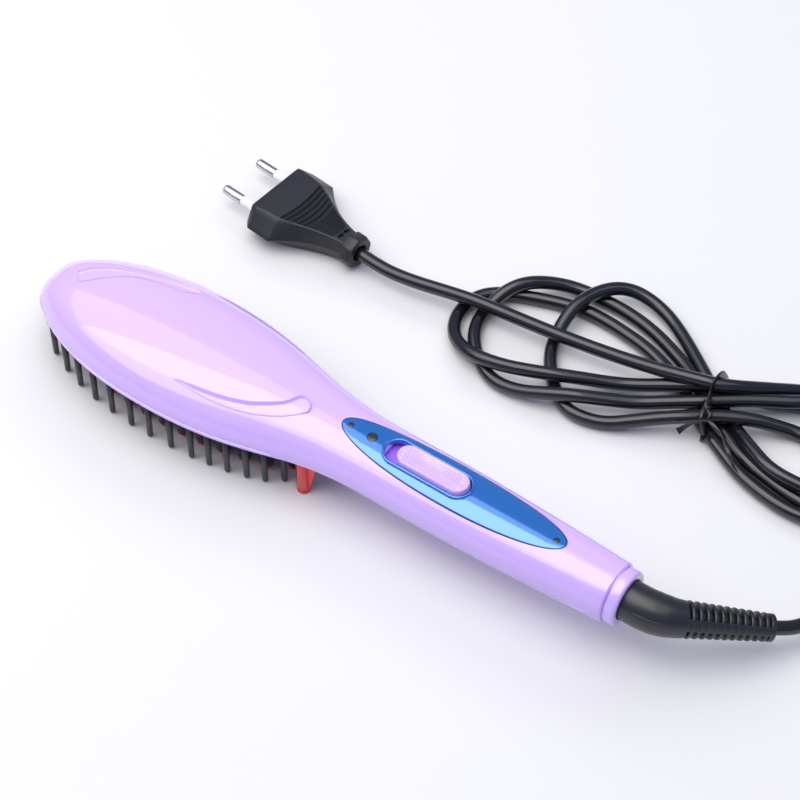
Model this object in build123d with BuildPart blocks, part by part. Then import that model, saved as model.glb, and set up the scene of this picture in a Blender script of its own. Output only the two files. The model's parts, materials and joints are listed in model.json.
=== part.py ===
from build123d import *
import math
import os

# Electric hot comb: a hair straightening brush with a slide switch, a swivel
# cord boot, a tied hank of cable and a flat two pin plug.
#
# Millimetres. The brush stands on its teeth and red feet at Z = 0, with +X from
# the head's tip to the cord end and the back of the head facing +Z. "distance"
# always means millimetres along X from the tip of the head, as drawn in body_sections.

# ---------------------------------------------------------------- brush body
# the cord's outlet stays where it is when the body gets longer or shorter
body_length = 243.5
cord_end = 121.75
ring_length = 4.5
wall = 2.0
parting_height = 18.4
squareness = 2.35
arch_points = 6
neck_start = 128.0

# distance, half width, centre height, top height, bottom height
body_sections = [
    (0.8, 5.0, 18.4, 21.0, 17.4),
    (3.0, 9.2, 18.4, 24.0, 17.4),
    (8.0, 13.4, 18.4, 27.4, 17.4),
    (16.0, 17.9, 18.4, 29.9, 17.4),
    (28.0, 22.3, 18.4, 32.2, 17.4),
    (44.0, 25.4, 18.4, 33.8, 17.4),
    (63.0, 26.3, 18.4, 34.5, 17.4),
    (82.0, 25.2, 18.4, 34.3, 17.4),
    (98.0, 22.4, 18.4, 33.5, 17.4),
    (112.0, 18.8, 18.6, 32.4, 15.9),
    (124.0, 16.1, 19.2, 31.7, 15.7),
    (136.0, 14.4, 20.0, 31.2, 13.4),
    (150.0, 13.6, 20.6, 31.0, 11.0),
    (170.0, 13.5, 20.7, 31.0, 10.4),
    (195.0, 12.9, 20.7, 30.9, 10.5),
    (220.0, 11.7, 20.7, 30.8, 10.7),
    (239.0, 10.5, 20.7, 30.7, 10.7),
]

# ------------------------------------------------------- comb field of head
lip = 0.6
comb_thickness = 1.2
comb_rail = 4.2
comb_rear = 118.0
tooth_inset = 1.9
tooth_root_radius = 1.2
tooth_tip_radius = 1.05
tooth_pad = 0.5
# distance and the extra amount by which the last teeth turn in behind the head
teeth = [(12.5, 0.0), (21.0, 0.0), (29.0, 0.0), (37.4, 0.0), (46.0, 0.0), (55.0, 0.0), (63.4, 0.0),
         (72.5, 0.0), (81.0, 0.0), (88.0, 0.0), (95.0, 0.0), (102.0, 0.2), (108.2, 0.9), (113.6, 3.4)]

base_thickness = 2.0
base_clearance = 0.3
base_rear = 128.0
heat_pin_radius = 2.6
heat_pin_clearance = 0.2
heat_pin_bottom = 2.4
pin_tip_radius = 2.1
pin_tip_bottom = 1.0
outer_pin_inset = 8.9
inner_pin_row = 5.9
outer_pin_pitch = 8.0
inner_pin_pitch = 9.0
outer_pin_start = 41.0
inner_pin_start = 27.5
outer_pin_count = 9
inner_pin_count = 9
rear_pin = (113.5, 6.6)

foot_distance = 121.0
foot_offset = 12.0
foot_radius = 2.5
foot_bore = 1.5
gusset_reach = 4.3
gusset_width = 1.2
gusset_foot = 1.6

# -------------------------------------------------------------- head heater
heater_margin = 5.4
heater_thickness = 2.5
heater_rear = 108.0
ptc_length, ptc_width, ptc_thickness = 46.0, 14.0, 3.4
ptc_distance = 63.0
mica_margin = 1.5
mica_thickness = 0.4
clamp_width, clamp_thickness = 8.0, 0.8
clamp_foot = 4.0
fuse_radius, fuse_length = 2.0, 12.0
fuse_distance, fuse_offset = 92.0, 10.5
thermistor_radius = 1.4
thermistor_distance, thermistor_offset = 34.0, -9.0
boss_radius = 3.0
boss_bore = 1.0
screw_radius = 0.95
screw_head_radius = 2.0
screw_head_height = 1.2
head_screws = [(17.5, 0.0), (63.0, 11.8), (63.0, -11.8), (104.0, 0.0)]

# ------------------------------------------------------------ control panel
panel_start = 129.9
panel_end = 218.6
panel_width = 17.5
panel_thickness = 1.2
panel_gap = 0.05
seat_clearance = 0.1
panel_end_radius = 2.6
dot_radius = 1.1
dot_distances = [132.9, 215.2]
dot_rise = 0.1
lens_radius = 1.95
lens_distance = 141.7
led_height = 5.0
led_radius = 1.5
slot_distance = 164.4
slot_length = 33.4
slot_width = 9.6
slot_rim = 0.9
slot_rim_height = 0.5

# ------------------------------------------------------------- slide switch
button_travel = 4.0
button_clearance = 0.3
button_rise = 1.8
button_edge = 1.0
shutter_width = 11.4
shutter_thickness = 1.2
shutter_drop = 3.1
shutter_front_cover, shutter_rear_cover = 0.3, 1.2
guide_gap = 0.3
guide_thickness = 1.2
guide_width = 16.4
guide_start, guide_end = 143.6, 191.0
guide_window_width = 7.0
guide_window_margin = 2.0
guide_post_radius = 0.9
guide_post_offset = 7.2
board_thickness = 1.6
board_width = 16.0
board_height = 15.6
board_start, board_end = 147.0, 202.0
tongue_start, tongue_width = 139.6, 7.0
board_post_radius = 2.0
board_posts = [149.0, 194.0]
switch_length, switch_width, switch_height = 16.0, 8.0, 5.0
lever_length, lever_width = 4.0, 2.6
lever_gap = 0.3
capacitor_radius, capacitor_height = 3.2, 7.5
capacitor_distance = 186.0
wire_radius = 0.8
wire_offset = 4.6
supply_offset = 6.3
supply_board_offset = 5.4

# ------------------------------------------------------------ handle screws
handle_screws = [134.0, 208.0]
handle_boss_radius = 2.8

# ------------------------------------------------------------ swivel outlet
axis_height = 20.7
ring_radius = 9.9
ring_groove = 0.6
outlet_radius = 7.3
bush_start, bush_end = 222.0, 235.8
stem_radius = 4.0
stem_clearance = 0.08
stem_start = 214.5
flange_radius = 7.7
flange_gap = 0.3
flange_thickness = 2.4
slip_ring_radius = 4.8
slip_ring_width = 1.4
slip_ring_distances = [216.2, 219.4]
spring_thickness = 0.5
spring_width = 1.4
spring_gap = 0.1

# ---------------------------------------------------------------- cord boot
# The boot bends in one plane through the swivel axis, turned from level.
boot_plane_turn = 22.8
boot_bend = 41.2
boot_bend_radius = 20.0
boot_corner = 133.1
boot_knuckle_radius = 7.1
rib_count = 12
rib_pitch = 2.6
rib_width = 1.35
rib_lead = 0.5
rib_first_radius, rib_last_radius = 6.3, 4.7
core_first_radius, core_last_radius = 4.4, 3.2
collar_width = 2.0
spine_width = 3.0

# -------------------------------------------------------------------- cable
cable_diameter = 5.0
# corners of the centre line from the boot's end face to the hank, clear of the brush
lead_route = [
    (168.067, 28.219, 8.838),
    (173.2, 34.7, 7.1),
    (177.0, 43.3, 5.3),
    (178.4, 53.1, 3.8),
    (177.4, 62.5, 2.9),
]
# centre line from the plug's collar to the hank
plug_lead_route = [
    (-44.4, 82.37, 6.9),
    (-36.0, 81.45, 6.9),
    (-28.4, 81.3, 7.0),
    (-19.0, 82.4, 7.3),
    (-8.6, 84.9, 7.5),
    (-0.5, 86.6, 7.6),
]

# --------------------------------------------------------------- cable hank
hank_height = 10.2
hank_outline = [
    (-4.4, 85.0), (-1.8, 74.5), (7.5, 65.6), (24.0, 61.0), (40.0, 61.6), (58.0, 64.8), (74.0, 69.4),
    (86.0, 79.0), (95.0, 88.4), (106.0, 82.0), (120.0, 74.8), (136.0, 71.4), (152.0, 72.2),
    (164.0, 68.4), (172.0, 60.2), (181.2, 61.4), (187.0, 76.0), (194.0, 92.0), (192.0, 112.0),
    (178.0, 127.0), (156.0, 134.6), (134.0, 131.0), (114.0, 121.6), (98.0, 110.2), (86.0, 114.6),
    (72.0, 122.8), (56.0, 129.6), (44.0, 128.4), (32.0, 120.6), (16.0, 114.4), (2.0, 103.0),
]
# holes between the loops: centre, length, width, turn
hank_holes = [
    ((30.0, 79.6), 38.0, 8.0, 8.0),
    ((46.0, 107.0), 34.0, 12.0, 12.0),
    ((152.0, 104.0), 56.0, 24.0, 4.0),
]

# ---------------------------------------------------------------- twist tie
tie_centre = (95.6, 99.2)
tie_turn = 8.0
tie_span = 24.6
tie_width = 3.2
tie_thickness = 0.9
tie_height = 12.2
tie_tail_radius = 0.8
tie_tails = [
    [(96.7, 94.4, 12.5), (94.6, 88.4, 12.3), (93.4, 81.4, 11.2)],
    [(97.2, 94.4, 12.5), (99.4, 89.6, 12.4), (100.6, 85.0, 11.8)],
    [(97.4, 94.6, 12.5), (107.0, 87.6, 12.2), (117.0, 78.4, 11.2)],
]

# --------------------------------------------------------------------- plug
plug_tip = (-104.55, 88.9, 6.9)
plug_turn = -6.2
pin_radius = 2.0
pin_spacing = 18.0
pin_bare = 9.2
pin_sleeve = 8.2
sleeve_radius = 1.8
shank_radius = 1.3
pin_root = 6.0
plug_body_length = 38.0
plug_width = 36.0
plug_top_width = 25.0
plug_thickness = 13.7
plug_shoulder = 12.8
plug_neck_width = 9.4
plug_neck_top_width = 7.4
plug_neck_thickness = 10.6
plug_waist = 30.4
plug_waist_width = 14.5
collar_length = 4.6
collar_radius = 6.2
plug_corner = 2.6
grip_count = 5
grip_pitch = 2.3
grip_depth = 0.6
grip_start = 11.0

os.makedirs("parts", exist_ok=True)


shell_end = body_sections[-1][0]
body_scale = (body_length - ring_length) / shell_end


def along(distance):
    """X of a point that many drawn millimetres from the tip of the head."""
    return cord_end - body_length + distance * body_scale


def between(distance, column):
    """One column of body_sections at a distance, on a smooth curve."""
    last = len(body_sections) - 2
    k = 0
    while k < last and body_sections[k + 1][0] < distance:
        k += 1
    rows = [body_sections[min(max(i, 0), last + 1)] for i in (k - 1, k, k + 1, k + 2)]
    x = [row[0] for row in rows]
    y = [row[column] for row in rows]
    span = x[2] - x[1]
    t = (distance - x[1]) / span
    slope_in = (y[2] - y[0]) / (x[2] - x[0]) * span
    slope_out = (y[3] - y[1]) / (x[3] - x[1]) * span
    bend = t * t * (3 - 2 * t)
    ease_in = t * (1 - t) ** 2
    ease_out = t * t * (1 - t)
    return y[1] * (1 - bend) + y[2] * bend + slope_in * ease_in - slope_out * ease_out


def half_width(distance):
    return between(distance, 1)


def top_height(distance):
    return between(distance, 3)


def bottom_height(distance):
    return between(distance, 4)


def inner_top(distance):
    return top_height(distance) - wall


def profile(section, inset, upward):
    """Points of one cross-section on one side of the parting plane, from +Y over to -Y."""
    distance, width, centre, top, bottom = section
    width = width - inset
    rise = top - centre - inset
    drop = centre - bottom - inset
    # the parting plane cuts the section a little below its widest line
    below = max(centre - parting_height, 0)
    start = -math.asin((below / drop) ** (squareness / 2)) if below > 0 else 0
    points = []
    for k in range(2 * arch_points + 1):
        angle = start + (math.pi - 2 * start) * k / (2 * arch_points)
        if not upward:
            angle = start - (math.pi + 2 * start) * k / (2 * arch_points)
        across, up = math.cos(angle), math.sin(angle)
        reach = rise if up > 0 else drop
        points.append((math.copysign(abs(across) ** (2 / squareness), across) * width,
                       centre + math.copysign(abs(up) ** (2 / squareness), up) * reach))
    return points


def body_form(sections, inset, upward, margin):
    """One half of the body as a smooth solid, smaller by the inset and run past the parting plane."""
    past = -margin if upward else margin
    with BuildPart() as form:
        for section in sections:
            points = profile(section, inset, upward)
            with BuildSketch(Plane((along(section[0]), 0, 0), x_dir=(0, 1, 0), z_dir=(1, 0, 0))):
                with BuildLine():
                    Spline(*points)
                    if margin:
                        Line(points[-1], (points[-1][0], points[-1][1] + past))
                        Line(points[0], (points[0][0], points[0][1] + past))
                    Line((points[-1][0], points[-1][1] + past), (points[0][0], points[0][1] + past))
                make_face()
        loft()
    return form.part


def head_outline(height, inset, front, rear):
    """Plan of the head at a height, inset from the rim and cut off square at the rear."""
    edge = [(front, 0.0)]
    step = 0.05
    for distance in [section[0] for section in body_sections]:
        slope = (half_width(distance + step) - half_width(distance)) / step
        length = math.hypot(slope, 1)
        x = distance + inset * slope / length
        y = half_width(distance) - inset / length
        if x < rear - 4 and y > 1.5 and x > edge[-1][0] + 0.4:
            edge.append((x, y))
    edge.append((rear, half_width(rear) - inset))
    near = [(along(x), y) for x, y in edge]
    far = [(x, -y) for x, y in reversed(near)]
    with BuildSketch(Plane.XY.offset(height)) as plan:
        with BuildLine():
            Spline(*far, *near[1:])
            Line(near[-1], far[0])
        make_face()
    return plan.sketch


def tooth_place(distance, turn_in):
    """Where one edge tooth stands, a fixed inset inside the rim."""
    step = 0.05
    slope = (half_width(distance + step) - half_width(distance)) / step
    length = math.hypot(slope, 1)
    return along(distance), half_width(distance) - tooth_inset / length - turn_in


neck_section = (neck_start,) + tuple(between(neck_start, column) for column in range(1, 5))
handle_sections = [neck_section] + [section for section in body_sections if section[0] > neck_start + 2]
panel_sections = [section for section in body_sections if section[0] > panel_start - 20]
cavity_sections = body_sections[1:]
cavity_start = cavity_sections[0][0]
above_body = 40.0

outer_top = body_form(body_sections, 0, True, 0)
inner_top_form = body_form(cavity_sections, wall, True, 1.0)
outer_bottom = body_form(handle_sections, 0, False, 0)
inner_bottom_form = body_form(handle_sections, wall, False, 1.0)

base_top = parting_height + base_thickness
heater_top = base_top + heater_thickness

tooth_places = []
for tooth_distance, turn_in in teeth:
    x, y = tooth_place(tooth_distance, turn_in)
    tooth_places += [(x, y), (x, -y)]

pin_places = []
for side in (1, -1):
    for k in range(outer_pin_count):
        pin_distance = outer_pin_start + k * outer_pin_pitch
        pin_places.append((along(pin_distance), side * (half_width(pin_distance) - outer_pin_inset)))
    for k in range(inner_pin_count):
        pin_places.append((along(inner_pin_start + k * inner_pin_pitch), side * inner_pin_row))
    pin_places.append((along(rear_pin[0]), side * rear_pin[1]))

dot_places = [(along(distance), 0) for distance in dot_distances]
foot_places = [(along(foot_distance), side * foot_offset) for side in (1, -1)]
head_screw_places = [(along(distance), y) for distance, y in head_screws]
handle_screw_places = [(along(distance), 0) for distance in handle_screws]
board_post_places = [(along(distance), side * board_width / 4)
                     for distance in board_posts for side in (1, -1)]


def panel_outline(height, margin):
    """Leaf shape of the control panel, larger by the margin."""
    start = along(panel_start) - margin
    end = along(panel_end) + margin
    middle = (start + end) / 2
    half = panel_width / 2 + margin
    tip = panel_end_radius + margin
    with BuildSketch(Plane.XY.offset(height)) as leaf:
        with BuildLine():
            ThreePointArc((start + tip, tip), (middle, half), (end - tip, tip))
            ThreePointArc((end - tip, tip), (end, 0), (end - tip, -tip))
            ThreePointArc((end - tip, -tip), (middle, -half), (start + tip, -tip))
            ThreePointArc((start + tip, -tip), (start, 0), (start + tip, tip))
        make_face()
    return leaf.sketch


def slot_outline(height, margin):
    """Rounded slot of the slide switch, larger by the margin."""
    with BuildSketch(Plane.XY.offset(height)) as slot:
        with Locations((along(slot_distance), 0)):
            SlotOverall(slot_length + 2 * margin, slot_width + 2 * margin)
    return slot.sketch


# Heights of the slide switch, worked down from the top of the handle.
panel_top = top_height(slot_distance)
shutter_top = panel_top - shutter_drop
shutter_bottom = shutter_top - shutter_thickness
guide_top = shutter_bottom - guide_gap
guide_bottom = guide_top - guide_thickness
board_top = board_height + board_thickness
switch_top = board_top + switch_height

# ---------------------------------------------------------------- top shell
# bosses for the heater screws and the handle screws, up to the shell's skin
with BuildPart() as top_bosses:
    with BuildSketch(Plane.XY.offset(heater_top)):
        with Locations(*head_screw_places):
            Circle(boss_radius)
    extrude(amount=above_body - heater_top)
    with BuildSketch(Plane.XY.offset(parting_height)):
        with Locations(*handle_screw_places):
            Circle(handle_boss_radius)
    extrude(amount=above_body - parting_height)
    add(outer_top, mode=Mode.INTERSECT)

# seat of the control panel, let into the skin of the handle
with BuildPart() as panel_seat:
    add(panel_outline(parting_height, seat_clearance))
    extrude(amount=above_body)
    add(body_form(panel_sections, panel_thickness, True, 1.0), mode=Mode.SUBTRACT)

with BuildPart() as top_shell:
    add(outer_top)
    add(inner_top_form, mode=Mode.SUBTRACT)
    add(top_bosses.part)
    with BuildSketch(Plane.XY.offset(parting_height)):
        with Locations(*handle_screw_places, *head_screw_places):
            Circle(boss_bore)
    extrude(amount=inner_top(panel_end) - parting_height - wall, mode=Mode.SUBTRACT)
    add(panel_seat.part, mode=Mode.SUBTRACT)
    # slot of the slide switch and the hole over the indicator
    add(slot_outline(shutter_bottom, 0))
    extrude(amount=above_body, mode=Mode.SUBTRACT)
    with BuildSketch(Plane.XY.offset(shutter_bottom)):
        with Locations((along(lens_distance), 0)):
            Circle(lens_radius)
    extrude(amount=above_body, mode=Mode.SUBTRACT)

# ------------------------------------------------------------- bottom shell
# screw bosses and board posts stand on the shell's floor
with BuildPart() as bottom_posts:
    with BuildSketch():
        with Locations(*handle_screw_places):
            Circle(handle_boss_radius)
    extrude(amount=parting_height)
    with BuildSketch():
        with Locations(*board_post_places):
            Circle(board_post_radius)
    extrude(amount=board_height)
    add(outer_bottom, mode=Mode.INTERSECT)

with BuildPart() as bottom_shell:
    add(outer_bottom)
    add(inner_bottom_form, mode=Mode.SUBTRACT)
    add(bottom_posts.part)
    for place, distance in zip(handle_screw_places, handle_screws):
        head_seat = bottom_height(distance) + screw_head_height + 0.3
        with BuildSketch(Plane.XY.offset(head_seat)):
            with Locations(place):
                Circle(screw_radius + 0.15)
        extrude(amount=parting_height, mode=Mode.SUBTRACT)
        with BuildSketch(Plane.XY.offset(head_seat)):
            with Locations(place):
                Circle(screw_head_radius + 0.1)
        extrude(amount=-parting_height, mode=Mode.SUBTRACT)

# ------------------------------------------------------- comb field of head
comb_bottom = parting_height - comb_thickness
with BuildPart() as edge_comb_frame:
    add(head_outline(comb_bottom, lip, lip, comb_rear))
    extrude(amount=comb_thickness)
    add(head_outline(comb_bottom, lip + comb_rail, lip + comb_rail, comb_rear - comb_rail / 3))
    extrude(amount=comb_thickness, mode=Mode.SUBTRACT)
    with BuildSketch(Plane.XY.offset(comb_bottom)):
        with Locations(*tooth_places):
            Circle(tooth_root_radius + tooth_pad)
    extrude(amount=comb_thickness)

with BuildPart() as tooth:
    with BuildSketch(Plane.XZ):
        with BuildLine():
            Line((0, 0), (0, comb_bottom))
            Line((0, comb_bottom), (tooth_root_radius, comb_bottom))
            Line((tooth_root_radius, comb_bottom), (tooth_tip_radius, tooth_tip_radius))
            RadiusArc((tooth_tip_radius, tooth_tip_radius), (0, 0), tooth_tip_radius)
        make_face()
    revolve(axis=Axis.Z)

with BuildPart() as edge_teeth:
    with Locations(*tooth_places):
        add(tooth.part)

with BuildPart() as base_plate:
    add(head_outline(parting_height, wall + base_clearance, cavity_start + base_clearance, base_rear))
    extrude(amount=base_thickness)
    add(inner_top_form, mode=Mode.INTERSECT)
    with BuildSketch(Plane.XY.offset(parting_height)):
        with Locations(*pin_places):
            Circle(heat_pin_radius + heat_pin_clearance)
        with Locations(*head_screw_places):
            Circle(screw_radius + 0.15)
    extrude(amount=base_thickness, mode=Mode.SUBTRACT)

with BuildPart() as base_feet:
    with BuildSketch():
        with Locations(*foot_places):
            Circle(foot_radius)
    extrude(amount=parting_height)
    for foot_x, foot_y in foot_places:
        with BuildSketch(Plane.XZ.offset(-foot_y)):
            with BuildLine():
                Polyline((foot_x, gusset_foot), (foot_x + foot_radius - 0.2, gusset_foot),
                         (foot_x + foot_radius + gusset_reach, parting_height),
                         (foot_x, parting_height), close=True)
            make_face()
        extrude(amount=gusset_width / 2, both=True)
    with BuildSketch():
        with Locations(*foot_places):
            Circle(foot_bore)
    extrude(amount=parting_height - 1.0, mode=Mode.SUBTRACT)

with BuildPart() as heat_pins:
    with BuildSketch(Plane.XY.offset(heat_pin_bottom)):
        with Locations(*pin_places):
            Circle(heat_pin_radius)
    extrude(amount=base_top - heat_pin_bottom)
    chamfer(heat_pins.edges().group_by(Axis.Z)[0], length=0.4)

with BuildPart() as pin_tips:
    with BuildSketch(Plane.XY.offset(heat_pin_bottom)):
        with Locations(*pin_places):
            Circle(pin_tip_radius)
    extrude(amount=pin_tip_bottom - heat_pin_bottom, taper=20)

# -------------------------------------------------------------- head heater
with BuildPart() as heater_plate:
    add(head_outline(base_top, heater_margin, heater_margin, heater_rear))
    extrude(amount=heater_thickness)
    with BuildSketch(Plane.XY.offset(base_top)):
        with Locations(*head_screw_places):
            Circle(screw_radius + 0.15)
    extrude(amount=heater_thickness, mode=Mode.SUBTRACT)

with BuildPart() as ptc_heater:
    with BuildSketch(Plane.XY.offset(heater_top)):
        with Locations((along(ptc_distance), 0)):
            Rectangle(ptc_length, ptc_width)
    extrude(amount=ptc_thickness)

ptc_top = heater_top + ptc_thickness
mica_top = ptc_top + mica_thickness
with BuildPart() as insulation_sheet:
    with BuildSketch(Plane.XY.offset(ptc_top)):
        with Locations((along(ptc_distance), 0)):
            Rectangle(ptc_length + 2 * mica_margin, ptc_width + mica_margin)
    extrude(amount=mica_thickness)

strap_inner = ptc_width / 2 + mica_margin
with BuildPart() as heater_clamps:
    for strap_place in (along(ptc_distance) - ptc_length / 3, along(ptc_distance) + ptc_length / 3):
        with BuildSketch(Plane.YZ.offset(strap_place - clamp_width / 2)):
            with BuildLine():
                Polyline((-strap_inner - clamp_foot, heater_top),
                         (-strap_inner - clamp_foot, heater_top + clamp_thickness),
                         (-strap_inner - clamp_thickness, heater_top + clamp_thickness),
                         (-strap_inner - clamp_thickness, mica_top + clamp_thickness),
                         (strap_inner + clamp_thickness, mica_top + clamp_thickness),
                         (strap_inner + clamp_thickness, heater_top + clamp_thickness),
                         (strap_inner + clamp_foot, heater_top + clamp_thickness),
                         (strap_inner + clamp_foot, heater_top),
                         (strap_inner, heater_top),
                         (strap_inner, mica_top),
                         (-strap_inner, mica_top),
                         (-strap_inner, heater_top), close=True)
            make_face()
        extrude(amount=clamp_width)

with BuildPart() as thermal_fuse:
    with BuildSketch(Plane.YZ.offset(along(fuse_distance) - fuse_length / 2)):
        with Locations((fuse_offset, heater_top + fuse_radius)):
            Circle(fuse_radius)
    extrude(amount=fuse_length)

with BuildPart() as thermistor:
    with Locations((along(thermistor_distance), thermistor_offset, heater_top + thermistor_radius)):
        Sphere(thermistor_radius)

with BuildPart() as heater_screws:
    with BuildSketch(Plane.XY.offset(parting_height)):
        with Locations(*head_screw_places):
            Circle(screw_head_radius)
    extrude(amount=-screw_head_height)
    with BuildSketch(Plane.XY.offset(parting_height)):
        with Locations(*head_screw_places):
            Circle(screw_radius)
    extrude(amount=heater_top - parting_height + 3.0)

# ------------------------------------------------------------ control panel
with BuildPart() as control_panel:
    add(panel_outline(shutter_top, 0))
    extrude(amount=above_body)
    add(outer_top, mode=Mode.INTERSECT)
    add(slot_outline(shutter_top, slot_rim))
    extrude(amount=panel_top + slot_rim_height - shutter_top)
    add(body_form(panel_sections, panel_thickness - panel_gap, True, 1.0), mode=Mode.SUBTRACT)
    add(slot_outline(shutter_top, 0))
    extrude(amount=above_body, mode=Mode.SUBTRACT)
    with BuildSketch(Plane.XY.offset(shutter_top)):
        with Locations((along(lens_distance), 0)):
            Circle(lens_radius + 0.02)
        with Locations(*dot_places):
            Circle(dot_radius)
    extrude(amount=above_body, mode=Mode.SUBTRACT)

with BuildPart() as panel_dots:
    for dot_place, dot_distance in zip(dot_places, dot_distances):
        with BuildSketch(Plane.XY.offset(top_height(dot_distance) + dot_rise)):
            with Locations(dot_place):
                Circle(dot_radius)
        extrude(amount=panel_gap - panel_thickness - dot_rise)

with BuildPart() as indicator_lens:
    lens_top = top_height(lens_distance) + 0.1
    with BuildSketch(Plane.XY.offset(lens_top)):
        with Locations((along(lens_distance), 0)):
            Circle(lens_radius)
    extrude(amount=-wall - 0.1)

with BuildPart() as indicator_lamp:
    lamp_top = lens_top - wall - 0.1
    with BuildSketch(Plane.XY.offset(lamp_top)):
        with Locations((along(lens_distance), 0)):
            Circle(led_radius)
    extrude(amount=-led_height)
    with BuildSketch(Plane.XY.offset(board_top)):
        with Locations((along(lens_distance), 0)):
            with GridLocations(0, 1.6, 1, 2):
                Rectangle(0.5, 0.5)
    extrude(amount=lamp_top - led_height - board_top)

# ------------------------------------------------------------- slide switch
button_length = slot_length - button_travel - 2 * button_clearance
button_place = along(slot_distance) + button_travel / 2
button_top = panel_top + button_rise
with BuildPart() as slide_button:
    with BuildSketch(Plane.XY.offset(shutter_top)):
        with Locations((button_place, 0)):
            SlotOverall(button_length, slot_width - 2 * button_clearance)
    extrude(amount=button_top - shutter_top)
    chamfer(slide_button.edges().group_by(Axis.Z)[-1], length=button_edge)

button_start = button_place - button_length / 2
button_end = button_place + button_length / 2
shutter_start = button_start - button_travel - button_clearance - shutter_front_cover
shutter_end = button_end + button_travel + button_clearance + shutter_rear_cover
with BuildPart() as slide_shutter:
    with BuildSketch(Plane.XY.offset(shutter_bottom)):
        with Locations(((shutter_start + shutter_end) / 2, 0)):
            Rectangle(shutter_end - shutter_start, shutter_width)
    extrude(amount=shutter_thickness)

with BuildPart() as switch_lever:
    with BuildSketch(Plane.XY.offset(shutter_bottom)):
        with Locations((button_place, 0)):
            Rectangle(lever_length, lever_width)
    extrude(amount=switch_top - 2.0 - shutter_bottom)

guide_length = along(guide_end) - along(guide_start)
guide_distance = (guide_start + guide_end) / 2
guide_post_x = guide_length / 2 - 2 * guide_post_radius
with BuildPart() as guide_posts:
    with BuildSketch(Plane.XY.offset(guide_bottom)):
        with Locations((along(guide_distance), 0)):
            with GridLocations(2 * guide_post_x, 2 * guide_post_offset, 2, 2):
                Circle(guide_post_radius)
    extrude(amount=above_body)
    add(inner_top_form, mode=Mode.INTERSECT)

with BuildPart() as slide_guide:
    with BuildSketch(Plane.XY.offset(guide_bottom)):
        with Locations((along(guide_distance), 0)):
            Rectangle(guide_length, guide_width)
        with Locations((along(slot_distance), 0)):
            Rectangle(button_travel + lever_length + 2 * guide_window_margin, guide_window_width,
                      mode=Mode.SUBTRACT)
    extrude(amount=guide_thickness)
    add(guide_posts.part)

with BuildPart() as circuit_board:
    with BuildSketch(Plane.XY.offset(board_height)):
        with Locations((along((board_start + board_end) / 2), 0)):
            Rectangle(along(board_end) - along(board_start), board_width)
        with Locations((along((board_start + tongue_start) / 2), 0)):
            Rectangle(along(board_start) - along(tongue_start), tongue_width)
    extrude(amount=board_thickness)

with BuildPart() as switch_body:
    with BuildSketch(Plane.XY.offset(board_top)):
        with Locations((along(slot_distance), 0)):
            Rectangle(switch_length, switch_width)
    extrude(amount=switch_height)
    with BuildSketch(Plane.XY.offset(switch_top)):
        with Locations((along(slot_distance), 0)):
            Rectangle(button_travel + lever_length + 2 * lever_gap, lever_width + 2 * lever_gap)
    extrude(amount=-2.0 - lever_gap, mode=Mode.SUBTRACT)

with BuildPart() as filter_capacitor:
    with BuildSketch(Plane.XY.offset(board_top)):
        with Locations((along(capacitor_distance), 0)):
            Circle(capacitor_radius)
    extrude(amount=capacitor_height)

# Two supply wires run from the swivel's contact springs to the board.
with BuildPart() as supply_wires:
    for side in (1, -1):
        with BuildLine() as wire_path:
            Polyline((along(bush_start), side * supply_offset, axis_height),
                     (along(board_end) + 10.0, side * supply_offset, axis_height),
                     (along(board_end) - 3.0, side * supply_board_offset, board_top + wire_radius))
        with BuildSketch(Plane(wire_path.line @ 0, z_dir=wire_path.line % 0)):
            Circle(wire_radius)
        sweep(transition=Transition.ROUND)

# Two heater wires run from the board to the heating element.
wire_height = heater_top + wire_radius + 0.4
with BuildPart() as heater_wires:
    for side in (1, -1):
        with BuildLine() as wire_path:
            Polyline((along(board_start) + 4.0, side * wire_offset, board_top + wire_radius),
                     (along(board_start) - 3.0, side * wire_offset, wire_height),
                     (along(ptc_distance) + ptc_length / 2, side * wire_offset, wire_height))
        with BuildSketch(Plane(wire_path.line @ 0, z_dir=wire_path.line % 0)):
            Circle(wire_radius)
        sweep(transition=Transition.ROUND)

with BuildPart() as shell_screws:
    for place, distance in zip(handle_screw_places, handle_screws):
        head_seat = bottom_height(distance) + screw_head_height + 0.3
        with BuildSketch(Plane.XY.offset(head_seat)):
            with Locations(place):
                Circle(screw_head_radius)
        extrude(amount=-screw_head_height)
        with BuildSketch(Plane.XY.offset(head_seat)):
            with Locations(place):
                Circle(screw_radius)
        extrude(amount=parting_height + 5.0 - head_seat)

# ------------------------------------------------------------ swivel outlet
swivel_axis = Plane((0, 0, axis_height), x_dir=(0, 1, 0), z_dir=(1, 0, 0))
bush_length = along(bush_end) - along(bush_start)
with BuildPart() as end_ring:
    with BuildSketch(swivel_axis.offset(along(shell_end) + ring_groove)):
        Circle(ring_radius)
        Circle(outlet_radius, mode=Mode.SUBTRACT)
    extrude(amount=ring_length - ring_groove)
    fillet(end_ring.edges().group_by(Axis.X)[-1].sort_by(SortBy.LENGTH)[-1], radius=0.8)
    with BuildSketch(swivel_axis.offset(along(shell_end))):
        Circle(ring_radius - ring_groove)
        Circle(outlet_radius, mode=Mode.SUBTRACT)
    extrude(amount=ring_groove)

# the bush fills the end of the handle, clamped between the two shells
with BuildPart() as bush_upper:
    with BuildSketch(Plane.XY.offset(parting_height)):
        with Locations((along((bush_start + bush_end) / 2), 0)):
            Rectangle(bush_length, above_body)
    extrude(amount=above_body)
    add(inner_top_form, mode=Mode.INTERSECT)

with BuildPart() as bush_lower:
    with BuildSketch(Plane.XY.offset(parting_height)):
        with Locations((along((bush_start + bush_end) / 2), 0)):
            Rectangle(bush_length, above_body)
    extrude(amount=-above_body)
    add(inner_bottom_form, mode=Mode.INTERSECT)

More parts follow.
